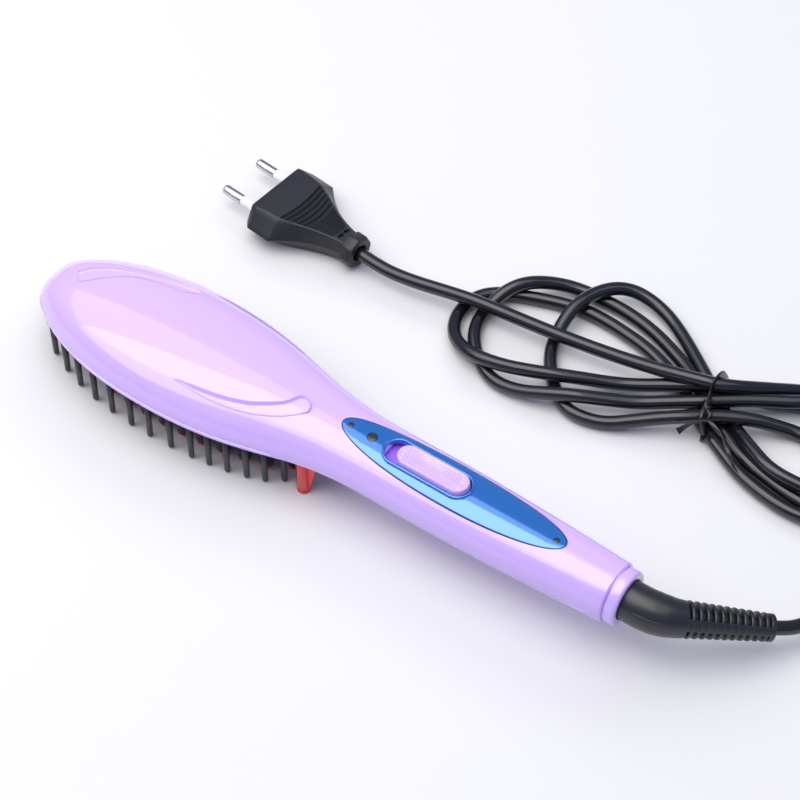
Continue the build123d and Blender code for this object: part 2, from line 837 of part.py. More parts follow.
with BuildPart() as swivel_bush:
    add(bush_upper.part)
    add(bush_lower.part)
    with BuildSketch(swivel_axis.offset(along(bush_start))):
        Circle(stem_radius + stem_clearance)
    extrude(amount=bush_length, mode=Mode.SUBTRACT)

flange_end = shell_end - flange_gap
with BuildPart() as swivel_stem:
    with BuildSketch(swivel_axis.offset(along(stem_start))):
        Circle(stem_radius)
    extrude(amount=along(flange_end) - along(stem_start))
    with BuildSketch(swivel_axis.offset(along(flange_end))):
        Circle(flange_radius)
    extrude(amount=-flange_thickness)

with BuildPart() as slip_rings:
    for ring_distance in slip_ring_distances:
        with BuildSketch(swivel_axis.offset(along(ring_distance))):
            Circle(slip_ring_radius)
            Circle(stem_radius, mode=Mode.SUBTRACT)
        extrude(amount=slip_ring_width)

with BuildPart() as contact_springs:
    for ring_distance, side in zip(slip_ring_distances, (1, -1)):
        spring_y = side * (slip_ring_radius + spring_gap + spring_thickness / 2)
        with BuildSketch(swivel_axis.offset(along(ring_distance))):
            with Locations((spring_y, 0)):
                Rectangle(spring_thickness, 2 * spring_width)
        extrude(amount=along(bush_start) - along(ring_distance))

# ---------------------------------------------------------------- cord boot
# The boot's own plane: its x runs along the swivel axis, its y out of the axis.
tilt = math.radians(boot_plane_turn)
bend = math.radians(boot_bend)
boot_plane = Plane((0, 0, axis_height), x_dir=(1, 0, 0), z_dir=(0, math.sin(tilt), math.cos(tilt)))
bend_reach = boot_bend_radius * math.tan(bend / 2)
bend_start = boot_corner - bend_reach
ribs_start = bend_reach + rib_lead
boot_length = rib_count * rib_pitch


def boot_point(distance_past_corner):
    """A point on the straight, ribbed part of the boot, in the boot's plane."""
    return (boot_corner + distance_past_corner * math.cos(bend), distance_past_corner * math.sin(bend))


def boot_disc(distance_past_corner):
    """Plane across the ribbed part, at a distance past the corner of its centre line."""
    u, v = boot_point(distance_past_corner)
    centre = boot_plane.from_local_coords(Vector(u, v, 0))
    ahead = boot_plane.from_local_coords(Vector(*boot_point(distance_past_corner + 1), 0))
    return Plane(centre, x_dir=boot_plane.z_dir, z_dir=ahead - centre)


with BuildPart() as cord_boot:
    with BuildLine(boot_plane):
        Line((along(flange_end), 0), (bend_start, 0))
        RadiusArc((bend_start, 0), boot_point(bend_reach), -boot_bend_radius)
    with BuildSketch(swivel_axis.offset(along(flange_end))):
        Circle(boot_knuckle_radius)
    sweep()
    with BuildSketch(boot_disc(bend_reach)):
        Circle(boot_knuckle_radius)
    with BuildSketch(boot_disc(ribs_start)):
        Circle(rib_first_radius)
    loft()
    with BuildSketch(boot_disc(ribs_start)):
        Circle(core_first_radius)
    with BuildSketch(boot_disc(ribs_start + boot_length)):
        Circle(core_last_radius)
    loft()
    for k in range(rib_count):
        share = (k + 1) / rib_count
        rib_radius = rib_first_radius + (rib_last_radius - rib_first_radius) * share
        width = collar_width if k == rib_count - 1 else rib_width
        with BuildSketch(boot_disc(ribs_start + (k + 1) * rib_pitch)):
            Circle(rib_radius)
        extrude(amount=-width)
    spine_plane = boot_disc(ribs_start)
    with BuildSketch(spine_plane):
        Rectangle(spine_width, 2 * rib_last_radius)
    extrude(amount=boot_length)

boot_end = boot_disc(ribs_start + boot_length)

# ------------------------------------------------------------------- cables


def corner_radii(route):
    """Radius of the arc at each inner point of a route, as large as its two runs allow."""
    points = [Vector(*point) for point in route]
    radii = []
    for before, here, after in zip(points, points[1:], points[2:]):
        turn = (here - before).get_angle(after - here)
        shorter = min((here - before).length, (after - here).length)
        radii.append(0.45 * shorter / math.tan(math.radians(turn / 2)))
    return radii


def cable_tube(route):
    """A cable of straight runs joined by tangent arcs."""
    with BuildPart() as tube:
        with BuildLine() as path:
            FilletPolyline(*route, radius=corner_radii(route))
        with BuildSketch(Plane(path.line @ 0, z_dir=path.line % 0)):
            Circle(cable_diameter / 2)
        sweep()
    length = path.wire().length
    share = tube.part.volume / (math.pi * (cable_diameter / 2) ** 2 * length)
    print("cable radii", [round(radius, 1) for radius in corner_radii(route)],
          "length", round(length, 1), "volume share", round(share, 4))
    return tube


cable_lead = cable_tube([tuple(boot_end.origin)] + lead_route)
cable_plug_lead = cable_tube(plug_lead_route)
print("boot end", boot_end.origin, boot_end.z_dir)

# ---------------------------------------------------------------- twist tie
tie_along = (math.cos(math.radians(tie_turn)), math.sin(math.radians(tie_turn)), 0)
tie_frame = Plane((tie_centre[0], tie_centre[1], 0), x_dir=tie_along, z_dir=(0, 0, 1))
with BuildPart() as twist_tie:
    with BuildSketch(Plane(tie_frame.origin, x_dir=tie_frame.y_dir, z_dir=tie_frame.x_dir)):
        with Locations((0, tie_height / 2)):
            Rectangle(tie_span, tie_height)
            Rectangle(tie_span - 2 * tie_thickness, tie_height - 2 * tie_thickness, mode=Mode.SUBTRACT)
    extrude(amount=tie_width / 2, both=True)
    for tail in tie_tails:
        with BuildLine() as tail_path:
            Spline(*tail)
        with BuildSketch(Plane(tail_path.line @ 0, z_dir=tail_path.line % 0)):
            Circle(tie_tail_radius)
        sweep()

# the hank as one closed solid of its outer shape, grooved where the tie holds it
with BuildPart() as cable_hank:
    with BuildSketch():
        with BuildLine():
            Spline(*hank_outline, periodic=True)
        make_face()
        for centre, hole_length, hole_width, turn in hank_holes:
            with Locations(Location(centre, turn)):
                SlotOverall(hole_length, hole_width, mode=Mode.SUBTRACT)
    extrude(amount=hank_height)
    add(cable_lead.part, mode=Mode.SUBTRACT)
    add(cable_plug_lead.part, mode=Mode.SUBTRACT)
    add(twist_tie.part, mode=Mode.SUBTRACT)

# --------------------------------------------------------------------- plug
plug_turn_radians = math.radians(plug_turn)
plug_ahead = (math.cos(plug_turn_radians), math.sin(plug_turn_radians), 0)
plug_frame = Plane(plug_tip, x_dir=plug_ahead, z_dir=(0, 0, 1))
plug_front = pin_bare + pin_sleeve


def plug_slice(distance, width, top_width, thickness):
    """Flat hexagonal cross-section of the plug, at a distance behind its front face."""
    centre = plug_frame.from_local_coords(Vector(plug_front + distance, 0, 0))
    with BuildSketch(Plane(centre, x_dir=plug_frame.y_dir, z_dir=plug_frame.x_dir)) as slice_face:
        with BuildLine():
            Polyline((-width / 2, 0), (-top_width / 2, thickness / 2), (top_width / 2, thickness / 2),
                     (width / 2, 0), (top_width / 2, -thickness / 2), (-top_width / 2, -thickness / 2),
                     close=True)
        make_face()
    return slice_face.sketch


with BuildPart() as plug_body:
    loft(sections=[plug_slice(0, plug_width - 2 * plug_corner, plug_top_width, plug_thickness - 1.0),
                   plug_slice(plug_corner, plug_width, plug_top_width, plug_thickness)], ruled=True)
    loft(sections=[plug_slice(plug_corner, plug_width, plug_top_width, plug_thickness),
                   plug_slice(plug_shoulder, plug_width, plug_top_width - 2.0, plug_thickness)], ruled=True)
    loft(sections=[plug_slice(plug_shoulder, plug_width, plug_top_width - 2.0, plug_thickness),
                   plug_slice((plug_shoulder + plug_waist) / 2, (plug_width + plug_waist_width) / 2 - 3.0,
                              (plug_top_width + plug_waist_width) / 2 - 4.0, plug_thickness - 1.2),
                   plug_slice(plug_waist, plug_waist_width, plug_neck_top_width + 2.0,
                              plug_neck_thickness + 0.8),
                   plug_slice(plug_body_length, plug_neck_width, plug_neck_top_width, plug_neck_thickness)])
    # octagonal collar that the cable leaves through
    collar_start = plug_frame.from_local_coords(Vector(plug_front + plug_body_length, 0, 0))
    with BuildSketch(Plane(collar_start, x_dir=plug_frame.y_dir, z_dir=plug_frame.x_dir)):
        RegularPolygon(collar_radius, side_count=8, major_radius=False, rotation=22.5)
    extrude(amount=collar_length)
    # grip grooves across the top
    with BuildSketch(plug_frame.offset(plug_thickness / 2)):
        for k in range(grip_count):
            with Locations((plug_front + grip_start + k * grip_pitch, 0)):
                Rectangle(grip_pitch / 2, plug_width)
    extrude(amount=-grip_depth, mode=Mode.SUBTRACT)
    # holes for the two pins
    with BuildSketch(Plane(plug_frame.from_local_coords(Vector(plug_front, 0, 0)),
                           x_dir=plug_frame.y_dir, z_dir=plug_frame.x_dir)):
        with GridLocations(pin_spacing, 0, 2, 1):
            Circle(sleeve_radius)
    extrude(amount=pin_root, mode=Mode.SUBTRACT)

pin_face = Plane(plug_frame.origin, x_dir=plug_frame.y_dir, z_dir=plug_frame.x_dir)
with BuildPart() as plug_pins:
    with BuildSketch(pin_face):
        with GridLocations(pin_spacing, 0, 2, 1):
            Circle(pin_radius)
    extrude(amount=pin_bare)
    chamfer(plug_pins.edges().group_by(Axis.X)[0], length=0.5)
    with BuildSketch(pin_face.offset(pin_bare)):
        with GridLocations(pin_spacing, 0, 2, 1):
            Circle(shank_radius)
    extrude(amount=pin_sleeve + pin_root - 0.2)

with BuildPart() as pin_sleeves:
    with BuildSketch(pin_face.offset(pin_bare)):
        with GridLocations(pin_spacing, 0, 2, 1):
            Circle(sleeve_radius)
            Circle(shank_radius, mode=Mode.SUBTRACT)
    extrude(amount=pin_sleeve + pin_root - 0.2)

# -------------------------------------------------------------------- files
top_shell.part.label = "top_shell"
export_step(top_shell.part, "parts/top_shell.step")
bottom_shell.part.label = "bottom_shell"
export_step(bottom_shell.part, "parts/bottom_shell.step")
edge_comb_frame.part.label = "edge_comb_frame"
export_step(edge_comb_frame.part, "parts/edge_comb_frame.step")
edge_teeth.part.label = "edge_teeth"
export_step(edge_teeth.part, "parts/edge_teeth.step")
base_plate.part.label = "base_plate"
export_step(base_plate.part, "parts/base_plate.step")
base_feet.part.label = "base_feet"
export_step(base_feet.part, "parts/base_feet.step")
heat_pins.part.label = "heat_pins"
export_step(heat_pins.part, "parts/heat_pins.step")
pin_tips.part.label = "pin_tips"
export_step(pin_tips.part, "parts/pin_tips.step")
heater_plate.part.label = "heater_plate"
export_step(heater_plate.part, "parts/heater_plate.step")
ptc_heater.part.label = "ptc_heater"
export_step(ptc_heater.part, "parts/ptc_heater.step")
insulation_sheet.part.label = "insulation_sheet"
export_step(insulation_sheet.part, "parts/insulation_sheet.step")
heater_clamps.part.label = "heater_clamps"
export_step(heater_clamps.part, "parts/heater_clamps.step")
thermal_fuse.part.label = "thermal_fuse"
export_step(thermal_fuse.part, "parts/thermal_fuse.step")
thermistor.part.label = "thermistor"
export_step(thermistor.part, "parts/thermistor.step")
heater_screws.part.label = "heater_screws"
export_step(heater_screws.part, "parts/heater_screws.step")
control_panel.part.label = "control_panel"
export_step(control_panel.part, "parts/control_panel.step")
panel_dots.part.label = "panel_dots"
export_step(panel_dots.part, "parts/panel_dots.step")
indicator_lens.part.label = "indicator_lens"
export_step(indicator_lens.part, "parts/indicator_lens.step")
indicator_lamp.part.label = "indicator_lamp"
export_step(indicator_lamp.part, "parts/indicator_lamp.step")
slide_button.part.label = "slide_button"
export_step(slide_button.part, "parts/slide_button.step")
slide_shutter.part.label = "slide_shutter"
export_step(slide_shutter.part, "parts/slide_shutter.step")
switch_lever.part.label = "switch_lever"
export_step(switch_lever.part, "parts/switch_lever.step")
slide_guide.part.label = "slide_guide"
export_step(slide_guide.part, "parts/slide_guide.step")
circuit_board.part.label = "circuit_board"
export_step(circuit_board.part, "parts/circuit_board.step")
switch_body.part.label = "switch_body"
export_step(switch_body.part, "parts/switch_body.step")
filter_capacitor.part.label = "filter_capacitor"
export_step(filter_capacitor.part, "parts/filter_capacitor.step")
supply_wires.part.label = "supply_wires"
export_step(supply_wires.part, "parts/supply_wires.step")
heater_wires.part.label = "heater_wires"
export_step(heater_wires.part, "parts/heater_wires.step")
shell_screws.part.label = "shell_screws"
export_step(shell_screws.part, "parts/shell_screws.step")
end_ring.part.label = "end_ring"
export_step(end_ring.part, "parts/end_ring.step")
swivel_bush.part.label = "swivel_bush"
export_step(swivel_bush.part, "parts/swivel_bush.step")
swivel_stem.part.label = "swivel_stem"
export_step(swivel_stem.part, "parts/swivel_stem.step")
slip_rings.part.label = "slip_rings"
export_step(slip_rings.part, "parts/slip_rings.step")
contact_springs.part.label = "contact_springs"
export_step(contact_springs.part, "parts/contact_springs.step")
cord_boot.part.label = "cord_boot"
export_step(cord_boot.part, "parts/cord_boot.step")
cable_lead.part.label = "cable_lead"
export_step(cable_lead.part, "parts/cable_lead.step")
cable_hank.part.label = "cable_hank"
export_step(cable_hank.part, "parts/cable_hank.step")
cable_plug_lead.part.label = "cable_plug_lead"
export_step(cable_plug_lead.part, "parts/cable_plug_lead.step")
twist_tie.part.label = "twist_tie"
export_step(twist_tie.part, "parts/twist_tie.step")
plug_body.part.label = "plug_body"
export_step(plug_body.part, "parts/plug_body.step")
plug_pins.part.label = "plug_pins"
export_step(plug_pins.part, "parts/plug_pins.step")
pin_sleeves.part.label = "pin_sleeves"
export_step(pin_sleeves.part, "parts/pin_sleeves.step")
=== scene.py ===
"""Looks of an electric hot comb: a lilac straightening brush with a blue control panel, a swivel cord boot,
a tied hank of cable and a flat two pin plug. Lengths in the tables are millimetres; Blender works in metres."""

import json
import math

import bmesh
import bpy
import numpy as np
from mathutils import Matrix, Vector
from mathutils.geometry import delaunay_2d_cdt

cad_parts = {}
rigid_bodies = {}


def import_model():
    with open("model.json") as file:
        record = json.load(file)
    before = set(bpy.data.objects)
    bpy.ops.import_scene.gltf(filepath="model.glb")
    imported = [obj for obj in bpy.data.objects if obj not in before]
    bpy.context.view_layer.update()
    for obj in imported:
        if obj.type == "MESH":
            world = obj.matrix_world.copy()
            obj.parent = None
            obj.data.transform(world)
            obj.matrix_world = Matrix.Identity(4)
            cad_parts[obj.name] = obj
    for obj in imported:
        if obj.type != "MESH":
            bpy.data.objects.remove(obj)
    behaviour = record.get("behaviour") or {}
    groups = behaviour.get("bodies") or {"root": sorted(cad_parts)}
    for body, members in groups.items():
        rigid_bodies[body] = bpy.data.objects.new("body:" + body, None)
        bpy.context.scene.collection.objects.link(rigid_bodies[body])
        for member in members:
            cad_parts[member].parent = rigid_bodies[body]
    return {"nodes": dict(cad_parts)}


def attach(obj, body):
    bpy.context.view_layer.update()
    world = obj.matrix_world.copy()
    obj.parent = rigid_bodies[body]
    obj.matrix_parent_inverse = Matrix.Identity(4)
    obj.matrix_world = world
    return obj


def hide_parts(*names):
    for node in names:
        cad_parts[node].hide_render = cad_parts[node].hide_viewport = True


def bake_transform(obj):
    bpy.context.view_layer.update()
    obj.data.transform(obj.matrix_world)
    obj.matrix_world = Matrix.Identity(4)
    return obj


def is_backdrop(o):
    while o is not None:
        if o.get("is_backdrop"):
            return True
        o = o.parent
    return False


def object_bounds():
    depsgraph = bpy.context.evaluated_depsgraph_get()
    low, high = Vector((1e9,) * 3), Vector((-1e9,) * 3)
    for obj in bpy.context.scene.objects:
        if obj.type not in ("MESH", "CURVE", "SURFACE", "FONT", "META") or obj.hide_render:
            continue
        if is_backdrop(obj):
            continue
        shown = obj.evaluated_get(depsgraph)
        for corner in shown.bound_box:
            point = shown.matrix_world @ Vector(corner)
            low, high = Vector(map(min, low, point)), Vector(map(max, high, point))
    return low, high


bl_info = {
    "name": "Electric hot comb",
    "version": (1, 0, 0),
    "blender": (4, 5, 0),
    "location": "View3D > Sidebar > Hot comb",
    "description": "Builds the shells, teeth, panel, switch, boot, cable and plug of an electric hot comb",
    "category": "Object",
}

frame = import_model()
MM = 0.001

# ------------------------------------------------------------------ the brush body, millimetres
BODY_LENGTH = 243.5
SHELL_END = 239.0
NECK_START = 128.0
PARTING = 18.4
WALL = 2.0
SQUARENESS = 2.35
AXIS_HEIGHT = 20.7
# the shells' cord ends are rounded over this length, with stations at these distances from the end
END_ROUNDING = 0.7
END_STEPS = (0.5, 0.3, 0.15, 0.05, 0.0)

# distance from the tip, half width, centre, top, bottom
BODY_SECTIONS = [
    (0.0, 0.0, 18.4, 18.7, 17.4),
    (0.8, 5.0, 18.4, 21.0, 17.4),
    (3.0, 9.2, 18.4, 24.0, 17.4),
    (8.0, 13.4, 18.4, 27.4, 17.4),
    (16.0, 17.9, 18.4, 29.9, 17.4),
    (28.0, 22.3, 18.4, 32.2, 17.4),
    (44.0, 25.4, 18.4, 33.8, 17.4),
    (63.0, 26.3, 18.4, 34.5, 17.4),
    (82.0, 25.2, 18.4, 34.3, 17.4),
    (98.0, 22.4, 18.4, 33.5, 17.4),
    (112.0, 18.8, 18.6, 32.4, 15.9),
    (124.0, 16.1, 19.2, 31.7, 15.7),
    (136.0, 14.4, 20.0, 31.2, 13.4),
    (150.0, 13.6, 20.6, 31.0, 11.0),
    (170.0, 13.5, 20.7, 31.0, 10.4),
    (195.0, 12.9, 20.7, 30.9, 10.5),
    (220.0, 11.7, 20.7, 30.8, 10.7),
    (239.0, 10.5, 20.7, 30.7, 10.7),
]

# swooshes on the back of the head: their high and low edges, from the thin end to the round end, (distance, Y)
NEAR_SWOOSH = (
    [(66.8, -19.0), (71.9, -17.9), (79.2, -17.1), (87.1, -15.9), (94.4, -14.0), (101.0, -11.3),
     (106.7, -7.6), (110.3, -4.2), (112.9, -0.2), (116.4, -0.4), (118.0, -2.0), (118.5, -4.4)],
    [(67.1, -18.7), (76.0, -18.7), (84.7, -18.6), (92.6, -17.5), (99.9, -15.7), (106.6, -13.1),
     (112.6, -9.7), (116.8, -6.2)],
)
FAR_SWOOSH = (
    [(56.3, 17.9), (48.3, 16.5), (40.6, 14.7), (33.0, 12.7), (25.7, 10.4), (18.9, 7.3), (14.0, 3.6),
     (12.6, 1.6)],
    [(56.7, 17.6), (51.0, 13.2), (42.8, 12.1), (36.7, 10.6), (29.7, 7.8), (24.0, 3.5), (19.1, -0.6),
     (16.6, -2.1), (14.2, -0.8)],
)

# ------------------------------------------------------------------ comb field, panel and switch
COMB_BOTTOM = 17.2
TOOTH_INSET = 1.9
# distance and the extra turn-in of the last teeth
TEETH = [(12.5, 0.0), (21.0, 0.0), (29.0, 0.0), (37.4, 0.0), (46.0, 0.0), (55.0, 0.0), (63.4, 0.0),
         (72.5, 0.0), (81.0, 0.0), (88.0, 0.0), (95.0, 0.0), (102.0, 0.2), (108.2, 0.9), (113.6, 3.4)]
BASE_TOP = 20.4
PIN_BOTTOM = 2.4
TIP_BOTTOM = 1.0
PIN_ROWS = {"outer start": 41.0, "outer pitch": 8.0, "outer inset": 8.9, "inner start": 27.5,
            "inner pitch": 9.0, "inner offset": 5.9, "count": 9, "rear": (113.5, 6.6)}
FOOT = (121.0, 12.0)
# radius, height
FOOT_PROFILE = [(1.5, 17.4), (1.5, 0.15), (1.65, 0.0), (2.3, 0.0), (2.5, 0.2), (2.5, 1.4), (2.42, 1.5),
                (2.42, 1.75), (2.5, 1.85), (2.5, 18.4), (0.01, 18.4), (0.01, 17.4)]

PANEL = {"start": 129.9, "end": 218.6, "width": 17.5, "fullness": 2.1, "dots": (132.9, 215.2), "lens": 141.7}
SLOT = {"distance": 164.4, "length": 33.4, "width": 9.6, "rim": 0.9}
BUTTON = {"distance": 166.4, "length": 28.8, "width": 9.0, "top": 32.8, "bottom": 27.9}
# the button's dish (half length, half width, depth), its arcs (pitch, height) and its four small rings
# (place along, place across, radius, height)
DISH, ARCS, RINGS = (13.0, 4.2, 0.35), (1.05, 0.11), (11.3, 1.5, 0.75, 0.14)
# offset outwards from the slot, rise over the skin
RIM_PROFILE = [(0.0, -1.6), (0.0, 0.32), (0.1, 0.46), (0.3, 0.52), (0.6, 0.5), (0.8, 0.4), (0.9, 0.22),
               (0.92, -0.3)]
# offset outwards from the panel's outline, rise over the skin: a dark band round the panel, painted shade
# standing in for the groove of its seat
GROOVE_SHADE_PROFILE = [(-0.12, 0.06), (0.3, 0.06), (0.36, -0.05), (0.36, -0.5), (-0.12, -0.5)]
# radius, rise over the skin; the first point stands in for the middle
DOT_PROFILE = [(0.0005, -0.9), (1.1, -0.9), (1.1, 0.02), (1.0, 0.14), (0.8, 0.2), (0.4, 0.23), (0.0005, 0.24)]
LENS_PROFILE = [(0.0005, -1.9), (1.95, -1.9), (1.95, 0.0), (1.88, 0.12), (1.7, 0.2), (1.2, 0.28), (0.6, 0.32),
                (0.0005, 0.33)]

# ------------------------------------------------------------------ swivel outlet and boot
RING_RADIUS = 10.0
BOOT_START = 116.95
BOOT_TURN = math.radians(22.8)
BOOT_BEND = math.radians(41.2)
BOOT_BEND_RADIUS = 20.0
BOOT_CORNER = 133.1
KNUCKLE = 7.1

# ------------------------------------------------------------------ cable: given points, boot to plug
CABLE_ROUTE = [
    (160.35, 22.0, 11.45), (166.4, 26.9, 9.4), (170.4, 33.6, 7.8), (174.0, 42.6, 5.8), (176.4, 52.6, 4.0),
    (176.4, 62.2, 2.9), (173.8, 69.3, 2.5), (167.0, 74.0, 2.5), (157.0, 75.5, 2.5), (148.0, 74.6, 2.5),
    (140.0, 73.7, 2.5), (131.0, 74.8, 2.5), (122.5, 76.8, 2.5), (115.2, 79.6, 2.5), (108.0, 83.4, 2.5),
    (100.7, 87.2, 2.5), (93.5, 92.0, 2.5), (86.0, 97.0, 2.5), (79.0, 101.6, 2.5), (71.9, 104.8, 2.5),
    # first turn on the left of the tie
    (63.6, 107.6, 2.5), (54.5, 109.2, 2.5), (44.5, 110.2, 2.5), (34.7, 110.1, 2.5), (24.5, 107.2, 2.5),
    (15.7, 103.9, 2.5), (7.4, 100.4, 2.5), (1.4, 95.6, 2.5), (-1.4, 89.0, 2.5), (-1.2, 81.6, 2.5),
    (1.6, 75.2, 2.6), (6.6, 70.2, 3.6), (13.2, 67.2, 5.8), (20.6, 66.4, 7.4), (28.6, 68.0, 7.6),
    (37.0, 71.2, 7.6), (45.4, 75.0, 7.6), (53.6, 79.6, 6.6), (61.4, 84.7, 4.6), (70.5, 89.8, 4.4),
    (80.5, 94.8, 6.6), (89.6, 100.2, 7.4), (98.1, 104.5, 6.6), (110.0, 109.2, 3.2), (121.3, 116.0, 2.5),
    # small turn right of the tie, then under the tie's top row
    (130.5, 120.6, 2.5), (140.4, 124.8, 2.5), (151.0, 126.4, 2.5), (160.8, 127.3, 2.5), (168.5, 122.8, 2.5),
    (171.6, 114.4, 2.5), (168.5, 106.0, 2.5), (160.8, 101.5, 2.5), (149.4, 102.2, 2.5), (138.2, 104.4, 2.5),
    (127.6, 105.3, 2.5),
    (120.0, 101.8, 4.8), (111.4, 97.3, 7.3), (101.8, 92.0, 7.5), (94.9, 86.7, 7.6), (87.2, 81.3, 7.0),
    (77.9, 75.1, 4.8), (70.0, 70.2, 2.6), (62.2, 67.6, 2.5), (55.0, 67.6, 2.5), (48.6, 71.4, 2.5),
    (43.4, 76.4, 2.5), (39.2, 81.4, 2.5), (35.8, 87.2, 2.5), (33.8, 93.8, 3.2), (33.2, 100.6, 5.6),
    (33.8, 107.4, 7.5), (35.8, 114.6, 7.6), (40.4, 122.0, 7.2), (46.6, 126.4, 5.4), (54.7, 127.0, 3.6),
    (63.4, 124.4, 2.8), (72.5, 119.2, 2.5), (80.6, 113.6, 2.5), (88.4, 108.0, 2.6), (97.6, 101.0, 2.5),
    (107.3, 94.5, 2.8), (116.7, 87.8, 6.2), (128.4, 81.9, 7.4), (140.6, 82.4, 6.8), (149.4, 84.0, 6.2),
    (160.4, 87.0, 4.0), (172.4, 92.0, 2.6), (180.2, 100.6, 2.5), (180.2, 111.4, 3.0), (173.6, 121.4, 5.2),
    (163.0, 127.2, 7.2), (152.0, 129.0, 7.6), (141.0, 126.6, 7.6), (131.4, 122.0, 7.6), (122.7, 113.9, 7.6),
    (111.2, 107.1, 7.6), (99.3, 98.7, 7.6), (93.1, 93.9, 7.4), (84.3, 88.5, 6.2), (74.9, 82.4, 5.2),
    # second turn on the left
    (65.4, 76.6, 6.2), (56.0, 71.0, 7.5), (46.6, 66.8, 6.2), (36.6, 63.9, 3.4), (27.4, 63.4, 2.5),
    (19.8, 66.6, 2.5), (13.4, 71.8, 2.5), (8.6, 78.2, 2.5), (6.4, 85.0, 2.6), (6.6, 91.8, 3.6),
    (8.6, 98.4, 6.4), (12.8, 105.0, 7.6), (18.8, 111.6, 5.6), (26.2, 116.4, 3.4), (34.9, 118.2, 2.5),
    (44.9, 118.4, 2.5), (54.4, 117.3, 2.5), (63.0, 115.2, 2.5), (72.4, 111.6, 2.5), (81.6, 107.4, 2.5),
    (91.0, 100.5, 2.5), (99.2, 94.4, 2.5), (106.3, 89.9, 2.5), (115.9, 84.5, 2.5), (129.2, 81.4, 2.5),
    (142.5, 79.1, 2.5), (157.6, 80.4, 2.5), (171.8, 82.6, 2.5), (183.0, 87.8, 2.5), (190.0, 96.4, 2.5),
    (190.2, 107.6, 2.5), (183.6, 118.6, 2.5), (171.4, 127.0, 2.5), (157.2, 131.4, 2.5), (143.0, 131.2, 2.6),
    (130.0, 127.8, 3.0), (118.7, 120.5, 4.6), (108.8, 110.8, 8.6), (97.5, 100.8, 12.3), (88.5, 98.3, 12.2),
    (73.8, 96.3, 9.6), (60.1, 94.6, 7.8), (41.6, 91.7, 7.5), (22.7, 89.4, 7.5), (3.6, 87.4, 7.6),
    (-8.6, 84.9, 7.5), (-19.0, 82.6, 7.3), (-29.4, 81.3, 7.0), (-37.0, 81.6, 6.9),
    (-43.0, 82.2, 6.9), (-46.6, 82.6, 6.9),
]

# ------------------------------------------------------------------ twist tie and plug
TIE = {"centre": (95.6, 99.2), "turn": math.radians(21.0), "width": 2.8, "thickness": 0.8}
# round the bundle: across it and up
TIE_LOOP = [
    (8.2, 2.6), (8.0, 7.4), (6.0, 11.6), (4.2, 14.4), (1.6, 15.5), (-0.9, 14.6), (-2.6, 12.6), (-5.6, 11.5),
    (-11.4, 10.5), (-13.6, 7.6), (-15.4, 4.0), (-14.8, 0.9), (-8.0, 0.6), (-2.0, 0.6), (4.0, 0.6), (7.2, 0.8),
]
TIE_KNOT = [(96.8, 93.3, 11.8), (98.0, 89.7, 12.4), (100.9, 87.7, 12.2), (101.8, 85.7, 11.0)]
TIE_TAILS = [
    [(101.9, 86.1, 11.2), (99.7, 84.8, 11.2), (97.7, 83.0, 10.4), (95.4, 80.1, 9.2), (93.9, 77.8, 7.8)],
    [(101.7, 85.7, 11.2), (105.9, 84.4, 10.2), (109.9, 82.8, 8.8), (114.3, 78.9, 7.6), (117.3, 75.6, 7.0)],
    [(97.2, 92.2, 12.0), (97.6, 88.4, 12.2), (98.2, 85.2, 11.4), (99.6, 84.1, 9.0), (101.6, 82.9, 6.0)],
]
PLUG = {"tip": (-104.55, 88.9, 6.9), "turn": math.radians(-6.2), "bare": 9.2, "sleeve": 8.2, "spacing": 18.0,
        "length": 38.0, "collar": 4.6, "collar radius": 6.2}
# radius, distance behind the pin tips
PIN_PROFILE = [(0.0005, 0.0), (0.9, 0.06), (1.5, 0.25), (1.85, 0.6), (1.97, 0.95), (2.0, 1.3), (2.0, 9.0),
               (1.9, 9.2), (1.3, 9.2), (1.3, 21.0)]
SLEEVE_PROFILE = [(1.3, 9.2), (1.7, 9.2), (1.8, 9.35), (1.8, 21.0), (1.3, 21.0)]
# distance behind the front face, width, flat top's width, thickness
PLUG_SECTIONS = [
    (0.0, 30.6, 25.0, 12.7), (2.6, 36.0, 25.0, 13.7), (12.8, 36.0, 23.0, 13.7), (16.5, 29.2, 20.4, 13.4),
    (21.5, 22.2, 16.4, 12.6), (26.6, 16.4, 12.4, 11.6), (30.4, 13.4, 10.0, 10.8), (34.2, 11.0, 8.2, 10.2),
    (38.0, 9.4, 7.0, 9.8),
]


# ================================================================== sizes and colours a user may change
def length_property(name, description, default):
    return bpy.props.FloatProperty(name=name, description=description, default=default, unit="LENGTH")


class HotCombSizes(bpy.types.PropertyGroup):
    """Sizes of the hot comb's small repeated pieces."""

    cable_diameter: length_property("Cable diameter", "Outer diameter of the cable", 0.005)
    tooth_root: length_property("Tooth root radius", "Radius of an edge tooth where it starts", 0.0012)
    tooth_tip: length_property("Tooth tip radius", "Radius of an edge tooth's round end", 0.00105)
    pin_radius: length_property("Heat pin radius", "Radius of a heat pin", 0.0026)
    pin_tip: length_property("Pin tip radius", "Radius of the clear tip of a heat pin", 0.0025)
    swoosh_height: length_property("Swoosh height", "How far the swooshes stand out of the head", 0.0010)
    rib_count: bpy.props.IntProperty(
        name="Boot ribs", description="Number of strain relief ribs", default=12, min=2, max=40)
    rib_pitch: length_property("Rib pitch", "Distance from rib to rib", 0.0026)
    rib_width: length_property("Rib width", "Width of one rib", 0.00125)
    rib_first: length_property("First rib radius", "Radius of the rib next to the knuckle", 0.0063)
    rib_last: length_property("Last rib radius", "Radius of the last rib", 0.0047)


def color_property(name, description, default):
    return bpy.props.FloatVectorProperty(
        name=name, description=description, subtype="COLOR", size=3, min=0.0, max=1.0, default=default)


